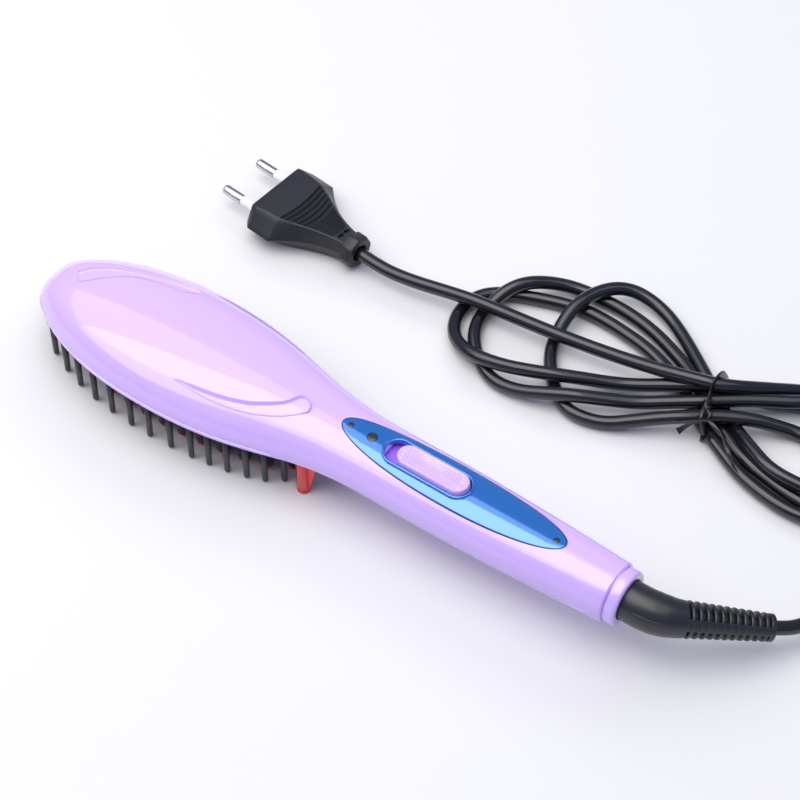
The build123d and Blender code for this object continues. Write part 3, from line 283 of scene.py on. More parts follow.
class HotCombColors(bpy.types.PropertyGroup):
    """Colours of the hot comb's finishes."""

    shell: color_property("Shell", "Lilac of the moulded shells", (0.64, 0.44, 0.93))
    panel: color_property("Panel", "Blue of the panel film", (0.010, 0.18, 0.60))
    # the dark line round the panel is painted shade, standing in for the groove of the panel's seat
    edge: color_property("Panel edge", "Dark line round the panel", (0.010, 0.014, 0.10))
    # the shutter's violet is darker than the shell's lilac: painted shade of the pocket under the button
    violet: color_property("Shutter", "Violet of the shutter under the button", (0.33, 0.13, 0.80))
    comb: color_property("Comb", "Grey of the edge teeth", (0.035, 0.037, 0.042))
    pins: color_property("Heat pins", "Coating of the heat pins", (0.012, 0.012, 0.014))
    red: color_property("Clear red", "Clear red of the feet and pin tips", (0.85, 0.012, 0.016))
    rubber: color_property("Rubber", "Rubber of the cord boot", (0.012, 0.013, 0.015))
    cable: color_property("Cable", "Sheath of the cable", (0.008, 0.008, 0.010))
    plug: color_property("Plug", "Moulding of the plug", (0.014, 0.015, 0.019))
    sleeve: color_property("Sleeves", "White sleeves of the plug's pins", (0.86, 0.86, 0.84))


def sizes():
    return bpy.context.scene.hot_comb_sizes


def colors():
    return bpy.context.scene.hot_comb_colors


# ================================================================== curves of the body
def along(distance):
    """X in millimetres of a point that many millimetres from the tip of the head."""
    return distance - BODY_LENGTH / 2


class SmoothCurve:
    """A natural cubic spline through given values."""

    def __init__(self, places, values):
        x, y = np.array(places, float), np.array(values, float)
        n = len(x)
        gap = np.diff(x)
        grid, right = np.eye(n), np.zeros(n)
        for i in range(1, n - 1):
            grid[i, i - 1 : i + 2] = gap[i - 1], 2 * (gap[i - 1] + gap[i]), gap[i]
            right[i] = 6 * ((y[i + 1] - y[i]) / gap[i] - (y[i] - y[i - 1]) / gap[i - 1])
        self.x, self.y, self.bend = x, y, np.linalg.solve(grid, right)

    def __call__(self, place):
        p = np.asarray(place, float)
        i = np.clip(np.searchsorted(self.x, p) - 1, 0, len(self.x) - 2)
        gap = self.x[i + 1] - self.x[i]
        a, b = (self.x[i + 1] - p) / gap, (p - self.x[i]) / gap
        curve = ((a**3 - a) * self.bend[i] + (b**3 - b) * self.bend[i + 1]) * gap**2 / 6
        return a * self.y[i] + b * self.y[i + 1] + curve


# The tip is round, so the curves run over the square root of the distance.
ROOTS = [math.sqrt(row[0]) for row in BODY_SECTIONS]
BODY_CURVES = [SmoothCurve(ROOTS, [row[k] for row in BODY_SECTIONS]) for k in range(1, 5)]


def body_values(distance):
    """Half width, centre, top and bottom heights of the body, millimetres."""
    root = np.sqrt(np.maximum(distance, 0))
    return [curve(root) for curve in BODY_CURVES]


def skin_height(distance, y):
    """Height of the body's upper skin above the table, millimetres."""
    width, centre, top, _ = body_values(distance)
    share = np.clip(np.abs(y) / np.maximum(width, 0.01), 0, 1)
    return centre + (top - centre) * (1 - share**SQUARENESS) ** (1 / SQUARENESS)


def smooth_step(low, high, value):
    t = np.clip((np.asarray(value, float) - low) / (high - low), 0, 1)
    return t * t * (3 - 2 * t)


# ================================================================== mesh helpers
def new_piece(name, points, faces, material, sharp=40):
    """A mesh object at the origin. Its points are given in millimetres."""
    mesh = bpy.data.meshes.new(name)
    mesh.from_pydata([tuple(c * MM for c in p) for p in points], [], faces)
    piece = bpy.data.objects.new(name, mesh)
    bpy.context.scene.collection.objects.link(piece)
    mesh.materials.append(material)
    tidy_mesh(piece, sharp)
    return piece


def tidy_mesh(piece, sharp=40):
    """Merges doubles, turns faces outwards and shades smooth but for sharp edges."""
    build = bmesh.new()
    build.from_mesh(piece.data)
    bmesh.ops.remove_doubles(build, verts=build.verts, dist=2e-6)
    bmesh.ops.dissolve_degenerate(build, edges=build.edges, dist=1e-6)
    bmesh.ops.recalc_face_normals(build, faces=build.faces)
    for face in build.faces:
        face.smooth = True
    for edge in build.edges:
        if len(edge.link_faces) == 2:
            edge.smooth = edge.calc_face_angle(0) < math.radians(sharp)
    build.to_mesh(piece.data)
    build.free()


def grid_faces(rows, columns, closed_rows=False):
    """Quads over rings of points: each row closes on itself, and so may the last row on the first."""
    faces = []
    for i in range(rows if closed_rows else rows - 1):
        for j in range(columns):
            k, m = (i + 1) % rows, (j + 1) % columns
            faces.append((i * columns + j, i * columns + m, k * columns + m, k * columns + j))
    return faces


def tube_piece(name, rings, material, sharp=40):
    """A closed skin over rings of points, capped at both ends."""
    columns = len(rings[0])
    points = [p for ring in rings for p in ring]
    faces = grid_faces(len(rings), columns)
    faces.append(tuple(range(columns))[::-1])
    faces.append(tuple((len(rings) - 1) * columns + k for k in range(columns)))
    return new_piece(name, points, faces, material, sharp)


def hoop_piece(name, rings, material, sharp=40):
    """A skin over rings of points whose last ring closes on the first."""
    points = [tuple(p) for ring in rings for p in ring]
    return new_piece(name, points, grid_faces(len(rings), len(rings[0]), closed_rows=True), material, sharp)


def lathe(name, profile, material, centre=(0, 0, 0), axis=(0, 0, 1), segments=72, closed=False):
    """A turned piece from (radius, height) pairs along the axis, closed on itself or with flat ends."""
    turn = Vector((0, 0, 1)).rotation_difference(Vector(axis)).to_matrix()
    rings = []
    for radius, height in profile:
        ring = []
        for k in range(segments):
            a = 2 * math.pi * k / segments
            ring.append(turn @ Vector((radius * math.cos(a), radius * math.sin(a), height)) + Vector(centre))
        rings.append(ring)
    return (hoop_piece if closed else tube_piece)(name, rings, material)


def joined(name, parts):
    """One object out of several, keeping each one's materials."""
    for part in bpy.context.view_layer.objects:
        part.select_set(part in parts)
    bpy.context.view_layer.objects.active = parts[0]
    bpy.ops.object.join()
    parts[0].name = name
    parts[0].select_set(False)
    return parts[0]


def offset_loop(loop, distance):
    """A closed 2-D loop moved outwards by a distance, for a loop that runs counter-clockwise."""
    p = np.array(loop, float)
    ahead = np.roll(p, -1, 0) - np.roll(p, 1, 0)
    ahead /= np.maximum(np.linalg.norm(ahead, axis=1), 1e-9)[:, None]
    return p + distance * np.stack([ahead[:, 1], -ahead[:, 0]], 1)


def loop_distance(points, loop):
    """Distance of 2-D points from a closed loop's line."""
    a, b = np.array(loop, float), np.roll(np.array(loop, float), -1, 0)
    best = np.full(len(points), 1e9)
    for p, q in zip(a, b):
        run = q - p
        t = np.clip(((points - p) @ run) / max(run @ run, 1e-12), 0, 1)
        best = np.minimum(best, np.linalg.norm(points - p - t[:, None] * run, axis=1))
    return best


def inside_loop(points, loop):
    """Which 2-D points lie inside a closed loop."""
    a, b = np.array(loop, float), np.roll(np.array(loop, float), -1, 0)
    inside = np.zeros(len(points), bool)
    for p, q in zip(a, b):
        crosses = (p[1] > points[:, 1]) != (q[1] > points[:, 1])
        with np.errstate(divide="ignore", invalid="ignore"):
            x = (q[0] - p[0]) * (points[:, 1] - p[1]) / (q[1] - p[1]) + p[0]
        inside ^= crosses & (points[:, 0] < x)
    return inside


def plate(name, outline, holes, spacing, top, bottom, material, rings=(), sharp=40):
    """A closed plate with a curved top and bottom, cut from a 2-D outline with holes. rings are the distances
    from the edges at which extra lines of points follow the edge, for its rounding."""
    outline = np.array(outline, float)
    low, high = outline.min(0), outline.max(0)
    xs = np.arange(low[0] + spacing / 2, high[0], spacing)
    ys = np.arange(low[1] + spacing / 2, high[1], spacing)
    grid = np.array([(x + (k % 2) * spacing / 2, y) for k, y in enumerate(ys) for x in xs])
    loops = [outline] + [np.array(hole, float) for hole in holes]
    extra = [offset_loop(outline, -d) for d in rings]
    extra += [offset_loop(hole, d) for hole in loops[1:] for d in rings]
    keep = inside_loop(grid, outline)
    reach = (max(rings) if rings else 0) + spacing * 0.45
    for k, loop in enumerate(loops):
        keep &= loop_distance(grid, loop) > reach
        if k:
            keep &= ~inside_loop(grid, loop)
    free = np.concatenate([grid[keep]] + extra) if extra else grid[keep]
    points, edges = [], []
    for loop in loops:
        start = len(points)
        points += [tuple(p) for p in loop]
        edges += [(start + k, start + (k + 1) % len(loop)) for k in range(len(loop))]
    points += [tuple(p) for p in free]
    verts, _, faces, _, _, _ = delaunay_2d_cdt([Vector(p) for p in points], edges, [], 0, 1e-6)
    flat = np.array([tuple(v) for v in verts])
    middles = np.array([flat[list(face)].mean(0) for face in faces])
    good = inside_loop(middles, outline)
    for loop in loops[1:]:
        good &= ~inside_loop(middles, loop)
    faces = [face for face, ok in zip(faces, good) if ok]
    n = len(flat)
    body = [(x, y, z) for side in (top, bottom) for (x, y), z in zip(flat, side(flat))]
    # a wall stands on each edge that only one face has
    edges = dict.fromkeys(edge for face in faces for edge in zip(face, face[1:] + face[:1]))
    walls = [(b, a, a + n, b + n) for a, b in edges if (b, a) not in edges]
    under = [tuple(v + n for v in face[::-1]) for face in faces]
    return new_piece(name, body, list(faces) + under + walls, material, sharp)


def rounding(distance, radius):
    """How far a surface drops next to an edge that is rounded with a radius."""
    d = np.clip(distance, 0, radius)
    return radius - np.sqrt(np.maximum(radius**2 - (radius - d) ** 2, 0))


def route_points(route, resolution=8):
    """Points in metres along the smooth NURBS line of a route given in millimetres."""
    curve = bpy.data.curves.new("route", "CURVE")
    curve.dimensions = "3D"
    curve.resolution_u = resolution
    spline = curve.splines.new("NURBS")
    spline.points.add(len(route) - 1)
    for point, place in zip(spline.points, route):
        point.co = (*(c * MM for c in place), 1)
    spline.order_u = 3
    spline.use_endpoint_u = True
    holder = bpy.data.objects.new("route", curve)
    bpy.context.scene.collection.objects.link(holder)
    bpy.context.view_layer.update()
    mesh = bpy.data.meshes.new_from_object(holder.evaluated_get(bpy.context.evaluated_depsgraph_get()))
    line = [tuple(v.co) for v in mesh.vertices]
    bpy.data.objects.remove(holder)
    bpy.data.meshes.remove(mesh)
    return line


def tube_along(name, line, radius, material, sides):
    """A round tube along points in metres."""
    p = np.array(line, float)
    ahead = np.gradient(p, axis=0)
    ahead /= np.linalg.norm(ahead, axis=1)[:, None]
    side = Vector(ahead[0]).orthogonal().normalized()
    rings = []
    for k in range(len(p)):
        t = Vector(ahead[k])
        side = (side - t * side.dot(t)).normalized()
        up = t.cross(side)
        rings.append([(Vector(p[k]) + (side * math.cos(a) + up * math.sin(a)) * radius) / MM
                      for a in np.linspace(0, 2 * math.pi, sides, endpoint=False)])
    return tube_piece(name, rings, material, 50)


def apply_modifiers(piece):
    """Makes a piece a plain mesh of what its modifiers show."""
    bpy.context.view_layer.update()
    shown = piece.evaluated_get(bpy.context.evaluated_depsgraph_get())
    result = bpy.data.meshes.new_from_object(shown)
    piece.modifiers.clear()
    piece.data = result


def grown(name, places, tree, values, material):
    """A piece that a Geometry Nodes tree grows on points given in millimetres, made a plain mesh."""
    mesh = bpy.data.meshes.new(name)
    mesh.from_pydata([tuple(c * MM for c in p) for p in places], [], [])
    piece = bpy.data.objects.new(name, mesh)
    bpy.context.scene.collection.objects.link(piece)
    modifier = piece.modifiers.new("Grow", "NODES")
    modifier.node_group = tree
    values = {**values, "Material": material}
    for item in tree.interface.items_tree:
        if item.item_type == "SOCKET" and item.in_out == "INPUT" and item.name in values:
            modifier[item.identifier] = values[item.name]
    piece.update_tag()
    apply_modifiers(piece)
    if not piece.data.polygons:
        raise RuntimeError(name + " grew nothing")
    return piece


def ride_brush(piece, slot, *nodes):
    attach(piece, "brush")
    finish_piece(piece, slot, *nodes)


def finish_piece(piece, slot, *nodes):
    if nodes:
        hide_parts(*nodes)


# ================================================================== node helpers
def new_tree(name, kind, inputs, outputs):
    """A node group, with the sockets that come in and the sockets that go out."""
    tree = bpy.data.node_groups.new(name, kind)
    for label, socket_kind, value in inputs:
        socket = tree.interface.new_socket(label, in_out="INPUT", socket_type="NodeSocket" + socket_kind)
        if value is not None:
            socket.default_value = value
    for label, socket_kind in outputs:
        tree.interface.new_socket(label, in_out="OUTPUT", socket_type="NodeSocket" + socket_kind)
    return tree, tree.nodes.new("NodeGroupInput").outputs, tree.nodes.new("NodeGroupOutput").inputs


def add_node(tree, kind, inputs, **settings):
    """The first output of a new node, whose inputs are linked to sockets or set to values."""
    node = tree.nodes.new(kind)
    for key, value in settings.items():
        setattr(node, key, value)
    for key, value in inputs.items():
        if isinstance(value, bpy.types.NodeSocket):
            tree.links.new(value, node.inputs[key])
        else:
            node.inputs[key].default_value = value
    return node.outputs[0]


def math_node(tree, operation, a, b):
    return add_node(tree, "ShaderNodeMath", {0: a, 1: b}, operation=operation)


def raised(tree, geometry, height):
    rise = add_node(tree, "ShaderNodeCombineXYZ", {"Z": height})
    return add_node(tree, "GeometryNodeTransform", {"Geometry": geometry, "Translation": rise})


def together(tree, parts):
    node = tree.nodes.new("GeometryNodeJoinGeometry")
    for part in parts:
        tree.links.new(part, node.inputs[0])
    return node.outputs[0]


def finish_tree(tree, instances, start, end):
    """Realize Instances, smooth shading and Set Material, as each tree ends."""
    real = add_node(tree, "GeometryNodeRealizeInstances", {"Geometry": instances})
    smooth = add_node(tree, "GeometryNodeSetShadeSmooth", {"Geometry": real})
    done = add_node(tree, "GeometryNodeSetMaterial", {"Geometry": smooth, "Material": start["Material"]})
    tree.links.new(done, end["Geometry"])
    return tree


# ================================================================== Geometry Nodes
def stud_tree():
    """Geometry Nodes tree: a tapered stud with a domed lower end, hanging over each point."""
    name = "Domed studs"
    if name in bpy.data.node_groups:
        return bpy.data.node_groups[name]
    tree, start, end = new_tree(name, "GeometryNodeTree", [
        ("Points", "Geometry", None), ("Root Radius", "Float", 0.0012), ("Tip Radius", "Float", 0.00105),
        ("Length", "Float", 0.0172), ("Dome", "Float", 0.00105), ("Sides", "Int", 28),
        ("Material", "Material", None)], [("Geometry", "Geometry")])
    tip, dome, sides = start["Tip Radius"], start["Dome"], start["Sides"]
    cone = add_node(tree, "GeometryNodeMeshCone", {
        "Vertices": sides, "Radius Top": start["Root Radius"], "Radius Bottom": tip,
        "Depth": math_node(tree, "SUBTRACT", start["Length"], dome)}, fill_type="NGON")
    ball = add_node(tree, "GeometryNodeMeshUVSphere", {"Rings": 14, "Radius": 1.0, "Segments": sides})
    squash = add_node(tree, "ShaderNodeCombineXYZ", {"X": tip, "Y": tip, "Z": dome})
    end_cap = add_node(tree, "GeometryNodeTransform", {"Geometry": ball, "Scale": squash})
    stud = raised(tree, together(tree, [cone, end_cap]), dome)
    studs = add_node(tree, "GeometryNodeInstanceOnPoints", {"Points": start["Points"], "Instance": stud})
    return finish_tree(tree, studs, start, end)


def rib_tree():
    """Geometry Nodes tree: a row of round edged discs along +Z that get smaller from first to last."""
    tree, start, end = new_tree("Relief ribs", "GeometryNodeTree", [
        ("Points", "Geometry", None), ("Count", "Int", 12), ("Pitch", "Float", 0.00245),
        ("Width", "Float", 0.00135), ("Edge", "Float", 0.0004), ("First Radius", "Float", 0.006),
        ("Last Radius", "Float", 0.00435), ("Sides", "Int", 64), ("Material", "Material", None)],
        [("Geometry", "Geometry")])
    width, edge, first, sides = start["Width"], start["Edge"], start["First Radius"], start["Sides"]
    step = add_node(tree, "ShaderNodeCombineXYZ", {"Z": start["Pitch"]})
    row = add_node(tree, "GeometryNodeMeshLine", {"Count": start["Count"], "Offset": step}, mode="OFFSET")
    # one rib is a stack of cones: rim, two shoulders and two faces
    third = math_node(tree, "MULTIPLY", edge, 0.3)
    rest = math_node(tree, "MULTIPLY", edge, 0.7)
    inner = math_node(tree, "SUBTRACT", first, edge)
    middle = math_node(tree, "SUBTRACT", first, third)
    flat = math_node(tree, "SUBTRACT", width, math_node(tree, "MULTIPLY", edge, 2.0))
    height = math_node(tree, "MULTIPLY", width, -0.5)
    parts = []
    for low, high, depth in ((inner, middle, third), (middle, first, rest), (first, first, flat),
                             (first, middle, rest), (middle, inner, third)):
        cone = add_node(tree, "GeometryNodeMeshCone", {
            "Vertices": sides, "Radius Bottom": low, "Radius Top": high, "Depth": depth}, fill_type="NONE")
        parts.append(raised(tree, cone, height))
        height = math_node(tree, "ADD", height, depth)
    for side in (-0.5, 0.5):
        face = add_node(tree, "GeometryNodeMeshCircle", {"Vertices": sides, "Radius": inner}, fill_type="NGON")
        parts.append(raised(tree, face, math_node(tree, "MULTIPLY", width, side)))
    rib = add_node(tree, "GeometryNodeMergeByDistance", {"Geometry": together(tree, parts), "Distance": 2e-6})
    # scale of each rib, from one down to last over first
    index = tree.nodes.new("GeometryNodeInputIndex").outputs[0]
    share = math_node(tree, "DIVIDE", index, math_node(tree, "SUBTRACT", start["Count"], 1.0))
    drop = math_node(tree, "SUBTRACT", math_node(tree, "DIVIDE", start["Last Radius"], first), 1.0)
    size = math_node(tree, "ADD", math_node(tree, "MULTIPLY", share, drop), 1.0)
    scale = add_node(tree, "ShaderNodeCombineXYZ", {"X": size, "Y": size, "Z": 1.0})
    ribs = add_node(tree, "GeometryNodeInstanceOnPoints", {"Points": row, "Instance": rib, "Scale": scale})
    return finish_tree(tree, ribs, start, end)


# ================================================================== materials
def moulded_surface():
    """Shader group: fine grain, slow waves of gloss and faint tone changes of a moulded surface."""
    name = "Moulded surface"
    if name in bpy.data.node_groups:
        return bpy.data.node_groups[name]
    tree, start, end = new_tree(name, "ShaderNodeTree", [
        ("Color", "Color", None), ("Tone Spread", "Float", 0.04), ("Roughness", "Float", 0.3),
        ("Roughness Spread", "Float", 0.05), ("Grain Scale", "Float", 900.0), ("Grain Depth", "Float", 0.1)],
        [("Color", "Color"), ("Roughness", "Float"), ("Normal", "Vector")])
    link = tree.links.new
    place = tree.nodes.new("ShaderNodeTexCoord").outputs["Object"]
    grain = add_node(tree, "ShaderNodeTexNoise", {
        "Vector": place, "Scale": start["Grain Scale"], "Detail": 3.0, "Roughness": 0.6})
    bump = add_node(tree, "ShaderNodeBump", {
        "Strength": start["Grain Depth"], "Distance": 0.0001, "Height": grain})
    link(bump, end["Normal"])
    cloud = add_node(tree, "ShaderNodeTexNoise", {
        "Vector": place, "Scale": 38.0, "Detail": 4.0, "Roughness": 0.55})
    centred = math_node(tree, "SUBTRACT", cloud, 0.5)
    gloss = math_node(tree, "MULTIPLY", centred, start["Roughness Spread"])
    link(math_node(tree, "ADD", gloss, start["Roughness"]), end["Roughness"])
    tone = math_node(tree, "ADD", math_node(tree, "MULTIPLY", centred, start["Tone Spread"]), 1.0)
    shade = add_node(tree, "ShaderNodeVectorMath", {0: start["Color"], "Scale": tone}, operation="SCALE")
    link(shade, end["Color"])
    return tree


# colour or the property that holds it, roughness, its spread, grain depth, grain scale, tone spread and the
# shader's own sockets
FINISHES = {
    "lilac gloss": ("shell", 0.16, 0.02, 0.02, 260.0, 0.015,
                    {"Coat Weight": 1.0, "Coat Roughness": 0.03, "IOR": 1.5}),
    # darker violet for the shutter: painted shade of the pocket under the button
    "violet": ("violet", 0.3, 0.05, 0.06, 700.0, 0.05, {}),
    "comb grey": ("comb", 0.36, 0.08, 0.2, 1400.0, 0.1, {}),
    "pin coating": ("pins", 0.32, 0.08, 0.2, 1600.0, 0.1, {}),
    "clear red": ("red", 0.12, 0.03, 0.04, 700.0, 0.06,
                  {"Transmission Weight": 0.12, "IOR": 1.49, "Coat Weight": 0.3}),
    "boot rubber": ("rubber", 0.38, 0.12, 0.3, 1500.0, 0.18, {"Coat Weight": 0.35, "Coat Roughness": 0.3}),
    "cable sheath": ("cable", 0.17, 0.06, 0.1, 800.0, 0.15, {"Coat Weight": 0.35, "Coat Roughness": 0.1}),
    "plug satin": ("plug", 0.42, 0.1, 0.5, 2200.0, 0.16, {}),
    "sleeve white": ("sleeve", 0.35, 0.05, 0.1, 900.0, 0.02, {}),
    "tie plastic": ((0.012, 0.012, 0.014), 0.25, 0.08, 0.1, 900.0, 0.1, {}),
    "smoked window": ((0.022, 0.026, 0.038), 0.16, 0.04, 0.04, 900.0, 0.1, {"Coat Weight": 0.5}),
    "panel film": ("panel", 0.14, 0.02, 0.015, 420.0, 0.03,
                   {"Metallic": 0.5, "Coat Weight": 1.0, "Coat Roughness": 0.02, "Coat IOR": 1.8}),
    # dark band round the panel: painted shade of the groove of its seat
    "panel groove painted shade": ("edge", 0.3, 0.05, 0.1, 900.0, 0.1, {}),
    "nickel": ((0.62, 0.60, 0.57), 0.2, 0.08, 0.06, 1200.0, 0.05, {"Metallic": 1.0}),
    "steel": ((0.6, 0.6, 0.61), 0.32, 0.1, 0.15, 1300.0, 0.06, {"Metallic": 1.0}),
    "heater aluminium": ((0.72, 0.73, 0.74), 0.4, 0.1, 0.3, 1000.0, 0.08, {"Metallic": 1.0}),
    "contact brass": ((0.78, 0.58, 0.30), 0.3, 0.1, 0.15, 1300.0, 0.08, {"Metallic": 1.0}),
    "ceramic": ((0.62, 0.60, 0.55), 0.7, 0.1, 0.6, 900.0, 0.1, {}),
    "mica": ((0.42, 0.36, 0.24), 0.4, 0.15, 0.5, 500.0, 0.25, {}),
    "inner plastic": ((0.5, 0.5, 0.52), 0.45, 0.08, 0.25, 1200.0, 0.05, {}),
    "board": ((0.02, 0.17, 0.06), 0.35, 0.08, 0.2, 1500.0, 0.15, {}),
    "wire": ((0.5, 0.03, 0.03), 0.4, 0.08, 0.1, 900.0, 0.08, {}),
    "lamp": ((0.75, 0.78, 0.85), 0.15, 0.03, 0.05, 900.0, 0.03, {"Transmission Weight": 0.6}),
    "floor paper": ((0.725, 0.715, 0.705), 0.7, 0.05, 0.05, 300.0, 0.005, {}),
}


def finish(name):
    """The material of that name, made at its first use on the shared moulded surface."""
    if name in bpy.data.materials:
        return bpy.data.materials[name]
    color, roughness, spread, grain, grain_scale, tone, sockets = FINISHES[name]
    color = getattr(colors(), color) if isinstance(color, str) else color
    material = bpy.data.materials.new(name)
    material.use_nodes = True
    tree = material.node_tree
    shader = tree.nodes["Principled BSDF"]
    surface = tree.nodes.new("ShaderNodeGroup")
    surface.node_tree = moulded_surface()
    for key, value in {"Grain Scale": grain_scale, "Grain Depth": grain, "Roughness": roughness,
                       "Roughness Spread": spread, "Tone Spread": tone, "Color": (*color, 1)}.items():
        surface.inputs[key].default_value = value
    for source, target in (("Color", "Base Color"), ("Roughness", "Roughness"), ("Normal", "Normal")):
        tree.links.new(surface.outputs[source], shader.inputs[target])
    for key, value in sockets.items():
        shader.inputs[key].default_value = value
    return material


# ================================================================== pieces
def shell_rows(distance, upper):
    """Points (Y, Z) across the body at one station, from the +Y side over to the -Y side."""
    width, centre, top, bottom = (float(v) for v in body_values(distance))
    end_drop = 0.5 * float(smooth_step(SHELL_END - END_ROUNDING, SHELL_END, distance)) ** 2
    width, top, bottom = width - end_drop, top - end_drop, bottom + end_drop
    rise, drop = max(top - centre, 1e-4), max(centre - bottom, 1e-4)

    def side(z):
        share = (z - centre) / rise if z >= centre else (centre - z) / drop
        return width * max(1 - min(share, 1) ** SQUARENESS, 0) ** (1 / SQUARENESS)

    # height over the parting and offset outwards: a lip round the head, a plain step on the handle
    head = 1 - float(smooth_step(NECK_START - 22, NECK_START - 6, distance))
    size = min((top - PARTING) / 6, 1) if upper else 1
    if upper:
        lines = [(0.0, 0.38 * head - 0.2 * (1 - head)), (0.25 + 0.5 * head, 0.42 * head),
                 (0.4 + 0.65 * head, 0.30 * head), (0.6 + 0.6 * head, -0.10 * head),
                 (0.8 + 0.6 * head, -0.04 * head), (1.1 + 0.7 * head, 0.0)]
        lines = [(PARTING + h * size, d * size) for h, d in lines]
    else:
        lines = [(PARTING, -0.2), (PARTING - 0.25, 0.0)]
    edge = [(side(z) + d, z) for z, d in lines]
    z0 = lines[-1][0]
    share = (z0 - centre) / rise if z0 >= centre else (z0 - centre) / drop
    a0 = math.copysign(math.asin(min(abs(share), 1) ** (SQUARENESS / 2)), share)
    count = 76 if upper else 48
    arch = []
    for k in range(1, count):
        if upper:
            a = a0 + (math.pi - 2 * a0) * k / count
        else:
            a = a0 - (math.pi + 2 * a0) * k / count
        c, s = math.cos(a), math.sin(a)
        y = math.copysign(abs(c) ** (2 / SQUARENESS), c) * width
        z = centre + math.copysign(abs(s) ** (2 / SQUARENESS), s) * (rise if s > 0 else drop)
        arch.append((y, z))
    return edge + arch + [(-y, z) for y, z in reversed(edge)]


def shell_piece(name, stations, upper, holes, material):
    """A shell of even wall thickness over the body, with holes under the panel."""
    rows = [shell_rows(d, upper) for d in stations]
    columns = len(rows[0])
    outer = [(along(d), y, z) for d, row in zip(stations, rows) for y, z in row]
    inner = []
    first = stations[0]
    for d, row in zip(stations, rows):
        ramp = min((d - first) / 4, 1) if first < 1 else 1
        width, _, top, bottom = (float(v) for v in body_values(d))
        narrow = max(width - WALL, 0.01) / max(width, 0.1)
        level = (top - WALL - PARTING) / max(top - PARTING, 0.1) if upper else (
            (PARTING - bottom - WALL) / max(PARTING - bottom, 0.1))
        x = along(d) + (WALL * (1 - ramp) + 0.6 if first < 1 else 0)
        x = min(x, along(SHELL_END)) if ramp == 1 else x
        for y, z in row:
            inner.append((x, y * narrow * ramp, PARTING + (z - PARTING) * max(level, 0.02) * ramp))
    open_cells = set()
    for i, d in enumerate(stations[:-1]):
        for j in range(columns - 1):
            y = rows[i][j][0]
            for distance, half, reach in holes:
                if abs(d - distance) < half and abs(y) < reach:
                    open_cells.add((i, j))
    faces, count = [], set()
    n = len(outer)
    for i in range(len(stations) - 1):
        for j in range(columns - 1):
            if (i, j) in open_cells:
                continue
            a, b = i * columns + j, i * columns + j + 1
            face = (a, b, b + columns, a + columns)
            faces.append(face)
            faces.append(tuple(v + n for v in face[::-1]))
            count.update(zip(face, face[1:] + face[:1]))
    faces += [(b, a, a + n, b + n) for a, b in count if (b, a) not in count]
    return new_piece(name, outer + inner, faces, material, 32)


def swoosh_piece(name, edges, material):
    """One tapered swoosh on the skin of the head: a lip along its first edge, a low one along the other."""
    lines = [smooth_line(edge, 90) for edge in edges]
    outline = np.array(list(lines[1]) + list(lines[0][::-1]))
    area = np.sum(outline[:, 0] * np.roll(outline[:, 1], -1) - np.roll(outline[:, 0], -1) * outline[:, 1])
    if area < 0:
        outline = outline[::-1]
    outline = thin_loop(outline, 0.35)
    height = sizes().swoosh_height / MM

    def line_distance(flat, line):
        return np.min(np.linalg.norm(flat[:, None, :] - line[None, :, :], axis=2), axis=1)

    def top(flat):
        away = loop_distance(flat, outline)
        inwards, outwards = line_distance(flat, lines[0]), line_distance(flat, lines[1])
        lip = np.maximum(1 - smooth_step(0.1, 1.0, inwards), 0.35 * (1 - smooth_step(0.0, 0.55, outwards)))
        rise = height * lip * smooth_step(0.3, 2.0, inwards + outwards) * np.clip(away / 0.15, 0, 1)
        return skin_height(flat[:, 0], flat[:, 1]) + rise - 0.03

    def bottom(flat):
        return skin_height(flat[:, 0], flat[:, 1]) - 0.5

    piece = plate(name, outline, [], 0.5, top, bottom, material, rings=(0.15, 0.35, 0.65, 1.0), sharp=70)
    for vert in piece.data.vertices:
        vert.co.x -= BODY_LENGTH / 2 * MM
    return piece


def smooth_line(points, count):
    """A smooth 2-D line through given points."""
    p = np.array(points, float)
    run = np.concatenate([[0], np.cumsum(np.linalg.norm(np.diff(p, axis=0), axis=1))])
    t = np.linspace(0, run[-1], count)
    return np.stack([SmoothCurve(run, p[:, 0])(t), SmoothCurve(run, p[:, 1])(t)], 1)


def thin_loop(loop, least):
    """A loop without points that are nearer than a least distance to the last one kept."""
    kept = [loop[0]]
    for p in loop[1:]:
        if np.linalg.norm(p - kept[-1]) > least:
            kept.append(p)
    if np.linalg.norm(kept[-1] - kept[0]) < least:
        kept.pop()
    return np.array(kept)


def leaf_loop(count=260):
    """Outline of the control panel, counter-clockwise: an oval, a little fuller than an ellipse."""
    start, end = along(PANEL["start"]), along(PANEL["end"])
    angles = np.linspace(0, 2 * math.pi, count, endpoint=False)
    c, s = (np.sign(v) * np.abs(v) ** (2 / PANEL["fullness"]) for v in (np.cos(angles), np.sin(angles)))
    return np.stack([(start + end) / 2 + (end - start) / 2 * c, PANEL["width"] / 2 * s], 1)


def slot_loop(length, width, centre, margin=0.0, count=40):
    """Round ended slot outline, counter-clockwise."""
    r = width / 2 + margin
    reach = length / 2 - width / 2
    turns = np.linspace(-math.pi / 2, math.pi / 2, count)
    right = [(centre + reach + r * math.cos(a), r * math.sin(a)) for a in turns]
    left = [(centre - reach - r * math.cos(a), r * math.sin(a)) for a in turns[::-1]]
    straight = max(int(2 * reach / 0.8), 2)
    top = [(centre + reach - 2 * reach * k / straight, r) for k in range(1, straight)]
    low = [(centre - reach + 2 * reach * k / straight, -r) for k in range(1, straight)]
    return np.array(right + top + left + low)


def round_loop(x, y, radius, count=36):
    return np.array([(x + radius * math.cos(a), y + radius * math.sin(a))
                     for a in np.linspace(0, 2 * math.pi, count, endpoint=False)])


def panel_height(flat, sink=0.0):
    return skin_height(flat[:, 0] + BODY_LENGTH / 2, flat[:, 1]) - sink


